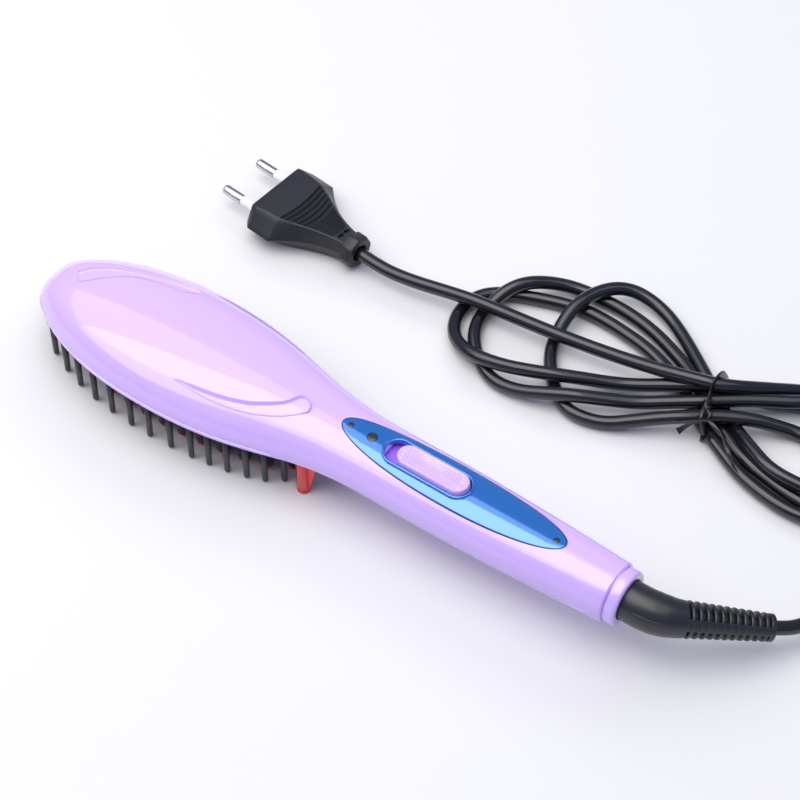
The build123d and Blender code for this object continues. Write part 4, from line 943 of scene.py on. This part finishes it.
def band_round(name, loop, profile, height, material):
    """A closed band round a loop. profile is (offset outwards, rise over height(points)) pairs."""
    rings = []
    lines = [offset_loop(loop, d) for d, _ in profile]
    for k in range(len(loop)):
        ring = []
        for line, (_, rise) in zip(lines, profile):
            x, y = line[k]
            z = float(height(np.array([[x, y]]))[0]) + rise
            ring.append((x, y, z))
        rings.append(ring)
    return hoop_piece(name, rings, material, 50)


def build_shells():
    roots = np.linspace(0, math.sqrt(SHELL_END - END_ROUNDING), 236)
    stations = [float(r * r) for r in roots] + [SHELL_END - d for d in END_STEPS]
    hole = [(SLOT["distance"], SLOT["length"] / 2 + 1.0, SLOT["width"] / 2 + 1.2), (PANEL["lens"], 2.4, 2.4)]
    lilac = finish("lilac gloss")
    ride_brush(shell_piece("shell_top", stations, True, hole, lilac), "shell", "top_shell")
    ride_brush(swoosh_piece("swoosh_near", NEAR_SWOOSH, lilac), "shell")
    ride_brush(swoosh_piece("swoosh_far", FAR_SWOOSH, lilac), "shell")
    stations = [float(s) for s in np.linspace(NECK_START, SHELL_END - END_ROUNDING, 70)]
    stations += [SHELL_END - d for d in END_STEPS]
    ride_brush(shell_piece("shell_bottom", stations, False, [], lilac), "shell", "bottom_shell")


def build_ring():
    r, x0 = RING_RADIUS, along(SHELL_END)
    profile = [(7.35, x0), (r - 0.6, x0), (r - 0.6, x0 + 0.5), (r - 0.2, x0 + 0.55), (r - 0.04, x0 + 0.7),
               (r, x0 + 0.95), (r, x0 + 3.5), (r - 0.12, x0 + 4.0), (r - 0.4, x0 + 4.35), (r - 0.8, x0 + 4.5),
               (7.8, x0 + 4.5), (7.5, x0 + 4.4), (7.35, x0 + 4.1)]
    ring = lathe("outlet_ring", profile, finish("lilac gloss"), centre=(0, 0, AXIS_HEIGHT), axis=(1, 0, 0),
                 segments=128, closed=True)
    ride_brush(ring, "shell", "end_ring")


def build_panel():
    centre = along(SLOT["distance"])
    outline = leaf_loop()
    slot = slot_loop(SLOT["length"], SLOT["width"], centre, SLOT["rim"] - 0.15)
    lens = round_loop(along(PANEL["lens"]), 0, 1.97)
    dots = [round_loop(along(d), 0, 1.1, 28) for d in PANEL["dots"]]

    def top(flat):
        near_edge = np.minimum(loop_distance(flat, outline), loop_distance(flat, slot))
        return panel_height(flat) + 0.12 - rounding(near_edge, 0.3) * 0.35

    film = plate("panel_film", outline, [slot, lens] + dots, 1.2, top, lambda f: panel_height(f, 0.5),
                 finish("panel film"), rings=(0.12, 0.35), sharp=50)
    level = float(skin_height(SLOT["distance"], 0))
    rim = band_round("slot_rim", slot_loop(SLOT["length"], SLOT["width"], centre), RIM_PROFILE,
                     lambda f: np.full(len(f), level), finish("panel film"))
    # a dark band round the panel's outline, painted shade in place of a cut groove for its seat
    edge = band_round("panel_edge", outline, GROOVE_SHADE_PROFILE, panel_height, finish("panel groove painted shade"))
    ride_brush(joined("panel_film", [film, rim, edge]), "panel", "control_panel")
    for name, distance, profile, segments, nodes in (
            ("panel_dot_1", PANEL["dots"][0], DOT_PROFILE, 40, ["panel_dots"]),
            ("panel_dot_2", PANEL["dots"][1], DOT_PROFILE, 40, []),
            ("lens_dark", PANEL["lens"], LENS_PROFILE, 56, ["indicator_lens"])):
        place = (along(distance), 0, float(skin_height(distance, 0)))
        piece = lathe(name, profile, finish("smoked window"), centre=place, segments=segments)
        ride_brush(piece, "smoke", *nodes)


def build_button():
    centre = along(BUTTON["distance"])
    outline = slot_loop(BUTTON["length"] - 0.5, BUTTON["width"] - 0.1, centre + 0.1, 0.0, 36)
    top_z = BUTTON["top"]

    def top(flat):
        u, v = flat[:, 0] - centre, flat[:, 1]
        away = loop_distance(flat, outline)
        z = top_z - 2.6 * (1 - np.clip(away / 0.4, 0, 1)) - 0.14 * (1 - smooth_step(0.38, 0.62, away))
        inside = smooth_step(0.9, 1.3, away)
        long, wide, deep = DISH
        z = z - inside * deep * np.clip(1 - (u / long) ** 2, 0, 1) * np.clip(1 - (v / wide) ** 2, 0, 1)
        # arcs round the left end of the dish and round the right end of it
        left = np.hypot(u + 1.5, v * 1.15)
        right = np.hypot(u + 1.0, v * 1.15)
        pitch, height = ARCS
        waves = np.cos(2 * np.pi * left / pitch) * smooth_step(2.4, 3.4, left) * (u < -1.0) * (left < 9.6)
        waves += np.cos(2 * np.pi * right / pitch) * smooth_step(4.2, 5.2, right) * (u > 1.5) * (right < 11.4)
        z = z + height * waves * inside
        place, off, radius, height = RINGS
        for side in (-1, 1):
            for across in (-1, 1):
                ring = np.hypot(u - side * place, v - across * off)
                z = z + height * np.exp(-((ring - radius) / 0.2) ** 2)
        return z

    cap = plate("button_cap", outline, [], 0.26, top, lambda f: np.full(len(f), BUTTON["bottom"]),
                finish("lilac gloss"), rings=(0.02, 0.38, 0.46, 0.54, 0.64, 0.9), sharp=60)
    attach(cap, "slider")
    finish_piece(cap, "button", "slide_button")


def tooth_place(distance, turn_in):
    step = 0.05
    width = body_values(distance)[0]
    slope = (body_values(distance + step)[0] - width) / step
    return along(distance), float(width - TOOTH_INSET / math.hypot(slope, 1) - turn_in)


def pin_places():
    """(X, Y) of each heat pin: an outer and an inner row on each side, and one rear pin."""
    rows, places = PIN_ROWS, []
    for side in (1, -1):
        for k in range(rows["count"]):
            d = rows["outer start"] + k * rows["outer pitch"]
            places.append((along(d), side * float(body_values(d)[0] - rows["outer inset"])))
            places.append((along(rows["inner start"] + k * rows["inner pitch"]), side * rows["inner offset"]))
        places.append((along(rows["rear"][0]), side * rows["rear"][1]))
    return places


def build_teeth():
    places = [tooth_place(d, t) for d, t in TEETH]
    spots = [(x, side * y, 0.0) for x, y in places for side in (1, -1)]
    teeth = grown("comb_teeth", spots, stud_tree(), {
        "Root Radius": sizes().tooth_root, "Tip Radius": sizes().tooth_tip, "Dome": sizes().tooth_tip,
        "Length": COMB_BOTTOM * MM + 0.0001, "Sides": 28}, finish("comb grey"))
    ride_brush(teeth, "comb", "edge_teeth")


def build_heat_pins():
    spots = [(x, y, PIN_BOTTOM) for x, y in pin_places()]
    pins = grown("heating_pins", spots, stud_tree(), {
        "Root Radius": sizes().pin_radius, "Tip Radius": sizes().pin_radius, "Dome": 0.0008,
        "Length": (BASE_TOP - PIN_BOTTOM) * MM, "Sides": 36}, finish("pin coating"))
    ride_brush(pins, "pin_coat", "heat_pins")
    tips = grown("pin_caps", [(x, y, TIP_BOTTOM) for x, y, _ in spots], stud_tree(), {
        "Root Radius": sizes().pin_tip, "Tip Radius": sizes().pin_tip * 0.94, "Dome": 0.0013,
        "Length": 0.0022, "Sides": 32}, finish("clear red"))
    ride_brush(tips, "red_clear", "pin_tips")


def build_feet():
    parts = []
    for side in (1, -1):
        x, y = along(FOOT[0]), side * FOOT[1]
        parts.append(lathe("foot", FOOT_PROFILE, finish("clear red"), (x, y, 0), segments=48, closed=True))
        web = [(x + 1.9, 1.6), (x + 2.6, 1.6), (x + 6.8, 18.4), (x + 1.9, 18.4)]
        points = [(px, y - 0.6, pz) for px, pz in web] + [(px, y + 0.6, pz) for px, pz in web]
        faces = [(0, 1, 2, 3), (7, 6, 5, 4)] + [(k, k + 4, (k + 1) % 4 + 4, (k + 1) % 4) for k in range(4)]
        gusset = new_piece("gusset", points, faces, finish("clear red"))
        bevel = gusset.modifiers.new("Round", "BEVEL")
        bevel.width, bevel.segments = 0.00022, 3
        apply_modifiers(gusset)
        parts.append(gusset)
    feet = joined("red_feet", parts)
    ride_brush(feet, "red_clear", "base_feet")


def boot_point(u, v, w=0.0):
    """A point of the boot's own plane in row millimetres: u along the swivel axis, v out of it, w across."""
    out = (0, math.cos(BOOT_TURN), -math.sin(BOOT_TURN))
    up = (0, math.sin(BOOT_TURN), math.cos(BOOT_TURN))
    return Vector((u, v * out[1] + w * up[1], AXIS_HEIGHT + v * out[2] + w * up[2]))


BEND_REACH = BOOT_BEND_RADIUS * math.tan(BOOT_BEND / 2)
RIBS_START = BEND_REACH + 0.5
WEB_TURN = math.radians(16.0)
# radius of the core under the ribs, at the first and the last rib
CORE_RADII = (4.0, 2.9)
# the ribs' webs and the fine parting line start and end this far from the end of the bend
WEB_LEAD, LINE_LEAD = 6.5, 2.0
# offset outwards from the knuckle's skin, place across
LINE_SECTION = [(-0.2, -0.16), (0.02, -0.13), (0.1, 0.0), (0.02, 0.13), (-0.2, 0.16)]


def boot_line(s):
    """Centre and direction of the boot, s millimetres from its start, in the boot's plane."""
    first = BOOT_CORNER - BEND_REACH - BOOT_START
    arc = BOOT_BEND_RADIUS * BOOT_BEND
    if s <= first:
        return (BOOT_START + s, 0.0), 0.0
    if s <= first + arc:
        a = (s - first) / BOOT_BEND_RADIUS
        u = BOOT_CORNER - BEND_REACH + BOOT_BEND_RADIUS * math.sin(a)
        return (u, BOOT_BEND_RADIUS * (1 - math.cos(a))), a
    d = s - first - arc + BEND_REACH
    return (BOOT_CORNER + d * math.cos(BOOT_BEND), d * math.sin(BOOT_BEND)), BOOT_BEND


def turned_point(place, a, side, out, across, turn):
    """A point beside the boot's centre line, turned about that line out of the plane of the bend."""
    o = out * math.cos(turn) + side * across * math.sin(turn)
    w = across * math.cos(turn) - side * out * math.sin(turn)
    return boot_point(place[0] - side * o * math.sin(a), place[1] + side * o * math.cos(a), w)


def build_boot():
    count = sizes().rib_count
    pitch, width = sizes().rib_pitch / MM, sizes().rib_width / MM
    first, last = sizes().rib_first / MM, sizes().rib_last / MM
    bend_end = BOOT_CORNER - BEND_REACH - BOOT_START + BOOT_BEND_RADIUS * BOOT_BEND
    ribs_at = bend_end + RIBS_START - BEND_REACH
    total = ribs_at + count * pitch
    # distance along the boot, radius
    stops = [(0.0, KNUCKLE), (8.0, KNUCKLE + 0.1), (bend_end - 9.0, KNUCKLE + 0.1), (bend_end - 5.0, 6.95),
             (bend_end - 1.5, 6.45), (ribs_at + 0.2, first - 0.05), (ribs_at + 0.5, first - 0.3),
             (ribs_at + 0.6, CORE_RADII[0])]

    def radius(s):
        return float(np.interp(s, [a for a, _ in stops], [r for _, r in stops]))

    places = list(np.linspace(0, bend_end, 60)) + list(np.linspace(bend_end + 0.1, ribs_at + 0.62, 9))
    core = list(np.linspace(ribs_at + 0.9, total - 0.1, 8))
    rings = []
    for s in places + core:
        (u, v), a = boot_line(s)
        thick, thin = CORE_RADII
        r = radius(s) if s <= ribs_at + 0.7 else thick + (thin - thick) * (s - ribs_at) / (count * pitch)
        ring = []
        for k in range(64):
            b = 2 * math.pi * k / 64
            out, across = r * math.cos(b), r * math.sin(b)
            ring.append(boot_point(u - out * math.sin(a), v + out * math.cos(a), across))
        rings.append(ring)
    body = tube_piece("cord_guard", rings, finish("boot rubber"), 45)
    # ribs on the straight stretch
    ribs = grown("guard_ribs", [(0, 0, 0)], rib_tree(), {
        "Count": count, "Pitch": pitch * MM, "Width": width * MM, "Edge": 0.42 * MM,
        "First Radius": first * MM, "Last Radius": last * MM, "Sides": 72}, finish("boot rubber"))
    (u, v), a = boot_line(ribs_at + pitch - width / 2)
    ahead = (boot_point(u + math.cos(a), v + math.sin(a)) - boot_point(u, v)).normalized()
    turn = Vector((0, 0, 1)).rotation_difference(ahead).to_matrix().to_4x4()
    ribs.data.transform(Matrix.Translation(boot_point(u, v) * MM) @ turn)
    tidy_mesh(ribs, 50)
    parts = [body, ribs]
    # two webs in the plane of the bend, and the end collar
    for side in (1, -1):
        sections = []
        for s in np.linspace(bend_end - WEB_LEAD, total - 0.15, 26):
            (u, v), a = boot_line(s)
            share = float(np.clip((s - ribs_at) / (count * pitch), 0, 1))
            blend_in = float(smooth_step(bend_end - WEB_LEAD, ribs_at + 1.0, s))
            reach = (radius(s) - 0.35) * (1 - blend_in) + (first + (last - first) * share - 0.12) * blend_in
            half = (2.1 - 0.6 * share) * (0.45 + 0.55 * blend_in)
            inner, corner = 1.0, 0.35
            arm = [(inner, half), (reach - corner, half), (reach - 0.1, half - corner * 0.3),
                   (reach, half - corner)]
            section = [(out, -across) for out, across in arm] + [(reach + 0.08, 0.0)] + arm[::-1]
            sections.append([turned_point((u, v), a, side, out, across, WEB_TURN) for out, across in section])
        parts.append(tube_piece("web", sections, finish("boot rubber"), 50))
    (u, v), a = boot_line(total - 1.0)
    profile = [(3.0, -1.0), (last - 0.35, -1.0), (last - 0.08, -0.85), (last, -0.6), (last, 0.55),
               (last - 0.1, 0.85), (last - 0.4, 1.0), (3.0, 1.0), (2.75, 0.9), (2.6, 0.6), (2.6, -1.0)]
    parts.append(lathe("collar", profile, finish("boot rubber"), boot_point(u, v), ahead, closed=True))
    # fine parting line over the knuckle, in the plane of the bend
    for side in (1, -1):
        sections = []
        for s in np.linspace(9.5, bend_end - LINE_LEAD, 30):
            (u, v), a = boot_line(s)
            r = radius(s)
            sections.append([turned_point((u, v), a, side, r + o, w, WEB_TURN * 0.6) for o, w in LINE_SECTION])
        parts.append(tube_piece("line", sections, finish("boot rubber"), 60))
    guard = joined("cord_guard", parts)
    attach(guard, "boot")
    finish_piece(guard, "boot_rubber", "cord_boot")


def plug_point(u, v, w=0.0):
    """A point of the plug in row millimetres: u behind the pin tips, v across, w up."""
    c, s = math.cos(PLUG["turn"]), math.sin(PLUG["turn"])
    x, y, z = PLUG["tip"]
    return Vector((x + u * c - v * s, y + u * s + v * c, z + w))


def plug_values(u):
    t = [row[0] for row in PLUG_SECTIONS]
    if u <= PLUG_SECTIONS[2][0]:
        return [float(np.interp(u, t, [row[k] for row in PLUG_SECTIONS])) for k in (1, 2, 3)]
    tail = PLUG_SECTIONS[2:]
    return [float(SmoothCurve([r[0] for r in tail], [r[k] for r in tail])(u)) for k in (1, 2, 3)]


# the plug's grip, from its front face: five broad steps, then fine ridges; RIDGE_SWING is half their depth
STEPS_START, STEP_PITCH, STEP_DEPTH = 12.6, 2.15, 0.85
RIDGES_START, RIDGES_END, RIDGE_PITCH, RIDGE_SWING = 23.35, 32.1, 0.972, 0.24


def plug_relief(u, v, flat):
    """Depth of the grip on the plug's flat faces: five broad steps, then fine ridges, then a double eye."""
    bow = u - 1.3 * (1 - (v / max(flat, 1)) ** 2)
    depth = 0.0
    if STEPS_START < bow < RIDGES_START:
        phase = ((bow - STEPS_START) / STEP_PITCH) % 1.0
        depth = STEP_DEPTH * float(smooth_step(0.0, 0.12, phase)) * (1 - phase) ** 0.6
    elif RIDGES_START <= bow < RIDGES_END:
        phase = ((bow - RIDGES_START) / RIDGE_PITCH) % 1.0
        depth = RIDGE_SWING - RIDGE_SWING * math.cos(2 * math.pi * phase)
    edge = float(smooth_step(0.0, 0.6, flat - abs(v)))
    eye = 1 - ((u - 34.6) / 0.85) ** 2 - ((abs(v) - 1.45) / 1.3) ** 2
    return depth * edge + 1.3 * min(max(eye * 3, 0), 1)


def build_plug():
    front = PLUG["bare"] + PLUG["sleeve"]
    stations = [*np.linspace(0, 2.6, 8), *np.arange(3.2, 12.0, 1.2), *np.arange(12.0, 37.2, 0.16),
                *np.linspace(37.3, 38.0, 3)]
    columns = 40
    rings = []
    for u in stations:
        width, flat, thick = plug_values(u)
        half, top, h = width / 2, flat / 2, thick / 2
        soft = 0.55 * (1 - math.sqrt(max(1 - (1 - min(u / 0.9, 1)) ** 2, 0)))
        ring = []
        for side in (1, -1):
            slope = [(half + (top - half) * t - soft, h * t - soft * t) for t in (0.25, 0.5, 0.75, 0.95)]
            near = [(half - soft, 0.0), (half - soft - 0.12, 0.3)] + slope
            over = []
            for k in range(columns + 1):
                v = (top - 0.35 - soft) * (1 - 2 * k / columns)
                over.append((v, h - soft - plug_relief(u, v, top - 0.35)))
            points = near + over + [(-a, b) for a, b in reversed(near[1:])]
            ring += [(side * a, side * b) for a, b in points]
        rings.append([plug_point(front + u, v, w) for v, w in ring])
    body = tube_piece("plug_moulding", rings, finish("plug satin"), 28)
    # collar: eight sides outside, a round mouth for the cable
    start = front + PLUG["length"]
    apothem = PLUG["collar radius"]

    def octagon(u, size, round_mouth=False):
        ring = []
        for k in range(64):
            a = 2 * math.pi * k / 64 + math.pi / 8
            corner = math.cos(a % (math.pi / 4) - math.pi / 8)
            r = size if round_mouth else min(size / corner, size * 1.065)
            ring.append(plug_point(start + u, r * math.cos(a), r * math.sin(a)))
        return ring

    rings = [octagon(u, size) for u, size in (
        (-0.6, 3.0), (-0.6, apothem - 0.6), (-0.35, apothem - 0.15), (0.0, apothem), (3.6, apothem),
        (4.2, apothem - 0.2), (4.6, apothem - 0.8))]
    rings += [octagon(u, size, True) for u, size in ((4.6, 3.6), (4.3, 3.3), (2.2, 3.1), (2.2, 0.3))]
    collar = tube_piece("collar", rings, finish("plug satin"), 28)
    plug = joined("plug_moulding", [body, collar])
    ride_brush(plug, "plug", "plug_body")
    ahead = plug_point(1, 0) - plug_point(0, 0)
    pins, sleeves = [], []
    for side in (-1, 1):
        centre = plug_point(0, side * PLUG["spacing"] / 2)
        pins.append(lathe("pin", PIN_PROFILE, finish("nickel"), centre=centre, axis=ahead, segments=56))
        sleeves.append(lathe("sleeve", SLEEVE_PROFILE, finish("sleeve white"), centre=centre, axis=ahead,
                             segments=56, closed=True))
    ride_brush(joined("contact_pins", pins), "pin_metal", "plug_pins")
    ride_brush(joined("white_sleeves", sleeves), "sleeve", "pin_sleeves")


def ribbon_along(name, line, width, thickness, turns, material, closed=False, flare=0.0):
    """A flat band that follows a line given in millimetres and twists by a number of turns."""
    p = np.array(line, float)
    ahead = np.roll(p, -1, 0) - np.roll(p, 1, 0)
    if not closed:
        ahead[0], ahead[-1] = p[1] - p[0], p[-1] - p[-2]
    ahead /= np.linalg.norm(ahead, axis=1, keepdims=True)
    side = np.cross(ahead[0], (0, 0, 1) if abs(ahead[0][2]) < 0.9 else (1, 0, 0))
    rings = []
    for k, (place, way) in enumerate(zip(p, ahead)):
        side = side - way * np.dot(side, way)
        side /= np.linalg.norm(side)
        up = np.cross(way, side)
        share = k / (len(p) - 1)
        angle = 2 * math.pi * turns * share
        wide = width / 2 * (1 + flare * share**6)
        ring = []
        for q in range(16):
            b = 2 * math.pi * q / 16
            a, h = wide * math.cos(b), thickness / 2 * math.copysign(abs(math.sin(b)) ** 0.7, math.sin(b))
            ring.append(place + side * (a * math.cos(angle) - h * math.sin(angle)) + up * (
                a * math.sin(angle) + h * math.cos(angle)))
        rings.append(ring)
    return (hoop_piece if closed else tube_piece)(name, rings, material, 60)


def closed_line(points, count):
    """A smooth closed line through points in a plane."""
    p = np.array(points + points[:3], float)
    p = np.concatenate([np.array(points[-3:], float), p])
    run = np.concatenate([[0], np.cumsum(np.linalg.norm(np.diff(p, axis=0), axis=1))])
    t = np.linspace(run[3], run[3 + len(points)], count, endpoint=False)
    return np.stack([SmoothCurve(run, p[:, 0])(t), SmoothCurve(run, p[:, 1])(t)], 1)


def build_tie():
    """Wire tie: a narrow band round the bundle, twisted on top, with loose ends."""
    (x, y), turn = TIE["centre"], TIE["turn"]
    c, s = math.cos(turn), math.sin(turn)
    loop = [(x - a * s + lean * c, y + a * c + lean * s, z)
            for (a, z), lean in ((q, 0.42 * max(q[0] + 1.5, 0) - 0.8) for q in closed_line(TIE_LOOP, 120))]
    parts = [ribbon_along("band", loop, TIE["width"], TIE["thickness"], 0, finish("tie plastic"), closed=True)]
    knot = np.array([tuple(q) for q in route_points(TIE_KNOT, 20)]) / MM
    for phase in (0.0, math.pi):
        line = []
        for k, q in enumerate(knot):
            a = phase + 2 * math.pi * 1.6 * k / (len(knot) - 1)
            line.append((q[0] + 0.62 * math.cos(a), q[1] + 0.25 * math.cos(a), q[2] + 0.62 * math.sin(a)))
        parts.append(ribbon_along("knot", line, 1.7, 0.9, 1.6, finish("tie plastic")))
    for tail, turns, flare in zip(TIE_TAILS, (0.35, 0.8, 0.1), (0.6, 0.4, 0.0)):
        line = np.array([tuple(q) for q in route_points(tail, 12)]) / MM
        parts.append(ribbon_along("tail", line, 1.7, 0.75, turns, finish("tie plastic"), flare=flare))
    tie = joined("bundle_tie", parts)
    for vert in tie.data.vertices:
        vert.co.z = max(vert.co.z, 0.05 * MM)
    ride_brush(tie, "tie", "twist_tie")


def build_cable():
    line = route_points(CABLE_ROUTE)
    diameter = sizes().cable_diameter
    cable = tube_along("mains_cable", line, diameter / 2, finish("cable sheath"), sides=24)
    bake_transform(cable)
    finish_piece(cable, "cable", "cable_lead", "cable_hank", "cable_plug_lead")


# the CAD nodes that keep their own shape, by finish
NODE_FINISHES = {
    "comb grey": ("edge_comb_frame", "base_plate"),
    "heater aluminium": ("heater_plate",),
    "ceramic": ("ptc_heater", "thermistor"),
    "mica": ("insulation_sheet",),
    "steel": ("heater_clamps", "thermal_fuse", "heater_screws", "shell_screws"),
    "lamp": ("indicator_lamp",),
    # the shutter gets the darker violet, painted shade of the pocket under the button
    "violet": ("slide_shutter",),
    "inner plastic": ("switch_lever", "slide_guide"),
    "board": ("circuit_board",),
    "pin coating": ("switch_body",),
    "wire": ("filter_capacitor", "supply_wires", "heater_wires"),
    "lilac gloss": ("swivel_bush",),
    "boot rubber": ("swivel_stem",),
    "contact brass": ("slip_rings", "contact_springs"),
}


def finish_nodes():
    for name, nodes in NODE_FINISHES.items():
        tops = [frame["nodes"][node] for node in nodes]
        for part in [part for top in tops for part in (top, *top.children_recursive) if part.type == "MESH"]:
            if not part.material_slots:
                part.data.materials.append(finish(name))
            for slot in part.material_slots:
                slot.material = finish(name)


# places, floor and lights of the stage are in metres, lens and sensor in millimetres
CAMERA = {"place": (0.3374, -0.4336, 0.7144), "aim": (0.00375, 0.03895, 0.0), "lens": 117.0, "sensor": 36.0}
# the floor's half size and its small drop below the pieces that lie on it
FLOOR_SIZE, FLOOR_DROP = 6.0, 0.0004
SKY_COLOR, SKY_STRENGTH = (0.53, 0.62, 1.0, 1), 0.46
# name, place, turn about the upright, width, depth, power, colour, seen in glossy surfaces
LIGHTS = [
    ("wide softbox", (-0.43, 0.0, 1.03), 0.0, 2.2, 1.1, 9.4, (1.0, 0.98, 0.92), True),
    ("bright softbox", (-0.567, -0.54, 1.0), math.radians(38.7), 1.85, 0.95, 11.4, (1.0, 0.98, 0.93), True),
    ("far softbox", (-0.60, 1.30, 1.06), 0.0, 2.4, 1.0, 14.0, (1.0, 0.975, 0.92), False),
]


def build_stage():
    scene = bpy.context.scene
    scene.view_settings.view_transform = "Standard"
    camera = bpy.data.objects.new("view", bpy.data.cameras.new("view"))
    scene.collection.objects.link(camera)
    camera.location = CAMERA["place"]
    aim = Vector(CAMERA["aim"]) - camera.location
    camera.rotation_euler = aim.to_track_quat("-Z", "Y").to_euler()
    camera.data.lens, camera.data.sensor_width = CAMERA["lens"], CAMERA["sensor"]
    scene.camera = camera
    corners = [(x * FLOOR_SIZE, y * FLOOR_SIZE, -FLOOR_DROP) for x, y in ((-1, -1), (1, -1), (1, 1), (-1, 1))]
    floor = bpy.data.meshes.new("floor")
    floor.from_pydata(corners, [], [(0, 1, 2, 3)])
    floor.materials.append(finish("floor paper"))
    ground = bpy.data.objects.new("floor", floor)
    scene.collection.objects.link(ground)
    ground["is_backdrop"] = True
    scene.world = bpy.data.worlds.new("studio")
    scene.world.use_nodes = True
    sky = scene.world.node_tree.nodes["Background"].inputs
    sky["Color"].default_value, sky["Strength"].default_value = SKY_COLOR, SKY_STRENGTH
    for name, place, turn, width, depth, power, color, mirrored in LIGHTS:
        lamp = bpy.data.lights.new(name, "AREA")
        lamp.shape, lamp.size, lamp.size_y, lamp.energy, lamp.color = "RECTANGLE", width, depth, power, color
        light = bpy.data.objects.new(name, lamp)
        scene.collection.objects.link(light)
        light.location, light.rotation_euler = place, (0, 0, turn)
        light.visible_glossy = mirrored


# ================================================================== operators, panel and registration
class HOTCOMB_OT_stage(bpy.types.Operator):
    """Add the pale floor, the soft light and the camera"""

    bl_idname = "hotcomb.stage"
    bl_label = "Stage"

    def execute(self, context):
        build_stage()
        return {"FINISHED"}


class HOTCOMB_OT_plug(bpy.types.Operator):
    """Build the flat plug with its two pins and white sleeves"""

    bl_idname = "hotcomb.plug"
    bl_label = "Plug"

    def execute(self, context):
        build_plug()
        return {"FINISHED"}


class HOTCOMB_OT_tie(bpy.types.Operator):
    """Build the wire tie round the hank of cable"""

    bl_idname = "hotcomb.tie"
    bl_label = "Wire tie"

    def execute(self, context):
        build_tie()
        return {"FINISHED"}


class HOTCOMB_OT_cable(bpy.types.Operator):
    """Lay the cable from the boot through the tied hank to the plug"""

    bl_idname = "hotcomb.cable"
    bl_label = "Cable"

    def execute(self, context):
        build_cable()
        return {"FINISHED"}


class HOTCOMB_OT_shells(bpy.types.Operator):
    """Build the two lilac shells with their swooshes"""

    bl_idname = "hotcomb.shells"
    bl_label = "Shells"

    def execute(self, context):
        build_shells()
        return {"FINISHED"}


class HOTCOMB_OT_ring(bpy.types.Operator):
    """Turn the outlet ring at the cord end of the handle"""

    bl_idname = "hotcomb.ring"
    bl_label = "Outlet ring"

    def execute(self, context):
        build_ring()
        return {"FINISHED"}


class HOTCOMB_OT_panel(bpy.types.Operator):
    """Build the blue control panel with its rim, dots and lens"""

    bl_idname = "hotcomb.panel"
    bl_label = "Control panel"

    def execute(self, context):
        build_panel()
        return {"FINISHED"}


class HOTCOMB_OT_button(bpy.types.Operator):
    """Build the dished slide button"""

    bl_idname = "hotcomb.button"
    bl_label = "Slide button"

    def execute(self, context):
        build_button()
        return {"FINISHED"}


class HOTCOMB_OT_teeth(bpy.types.Operator):
    """Grow the edge teeth round the head"""

    bl_idname = "hotcomb.teeth"
    bl_label = "Edge teeth"

    def execute(self, context):
        build_teeth()
        return {"FINISHED"}


class HOTCOMB_OT_heat_pins(bpy.types.Operator):
    """Grow the heat pins and their clear red tips"""

    bl_idname = "hotcomb.heat_pins"
    bl_label = "Heat pins"

    def execute(self, context):
        build_heat_pins()
        return {"FINISHED"}


class HOTCOMB_OT_feet(bpy.types.Operator):
    """Build the two clear red feet"""

    bl_idname = "hotcomb.feet"
    bl_label = "Feet"

    def execute(self, context):
        build_feet()
        return {"FINISHED"}


class HOTCOMB_OT_boot(bpy.types.Operator):
    """Build the bent rubber boot with its strain relief ribs"""

    bl_idname = "hotcomb.boot"
    bl_label = "Cord boot"

    def execute(self, context):
        build_boot()
        return {"FINISHED"}


class HOTCOMB_OT_node_finishes(bpy.types.Operator):
    """Give the inner pieces that keep their own shape their finishes"""

    bl_idname = "hotcomb.node_finishes"
    bl_label = "Inner finishes"

    def execute(self, context):
        finish_nodes()
        return {"FINISHED"}


STEPS = ("stage", "plug", "tie", "cable", "shells", "ring", "panel", "button", "teeth", "heat_pins", "feet",
         "boot", "node_finishes")


class HOTCOMB_PT_build(bpy.types.Panel):
    """Lists the hot comb's sizes, colours and building steps"""

    bl_label = "Hot comb"
    bl_idname = "HOTCOMB_PT_build"
    bl_space_type = "VIEW_3D"
    bl_region_type = "UI"
    bl_category = "Hot comb"

    def draw(self, context):
        for group in (context.scene.hot_comb_sizes, context.scene.hot_comb_colors):
            box = self.layout.box()
            for key in group.__annotations__:
                box.prop(group, key)
        for step in STEPS:
            self.layout.operator("hotcomb." + step)


CLASSES = (HotCombSizes, HotCombColors, HOTCOMB_OT_stage, HOTCOMB_OT_plug, HOTCOMB_OT_tie, HOTCOMB_OT_cable,
           HOTCOMB_OT_shells, HOTCOMB_OT_ring, HOTCOMB_OT_panel, HOTCOMB_OT_button, HOTCOMB_OT_teeth,
           HOTCOMB_OT_heat_pins, HOTCOMB_OT_feet, HOTCOMB_OT_boot, HOTCOMB_OT_node_finishes, HOTCOMB_PT_build)


def register():
    for item in CLASSES:
        bpy.utils.register_class(item)
    bpy.types.Scene.hot_comb_sizes = bpy.props.PointerProperty(type=HotCombSizes)
    bpy.types.Scene.hot_comb_colors = bpy.props.PointerProperty(type=HotCombColors)


def unregister():
    del bpy.types.Scene.hot_comb_sizes
    del bpy.types.Scene.hot_comb_colors
    for item in reversed(CLASSES):
        bpy.utils.unregister_class(item)


def plain(value):
    """Vectors and tuples as plain lists of numbers."""
    if isinstance(value, (int, float)):
        return float(value)
    return [plain(v) for v in value]


def main():
    cad_box = plain(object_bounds())
    register()
    for step in STEPS:
        getattr(bpy.ops.hotcomb, step)()
    {"cad": cad_box, "visual": plain(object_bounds())}


if __name__ == "__main__":
    main()
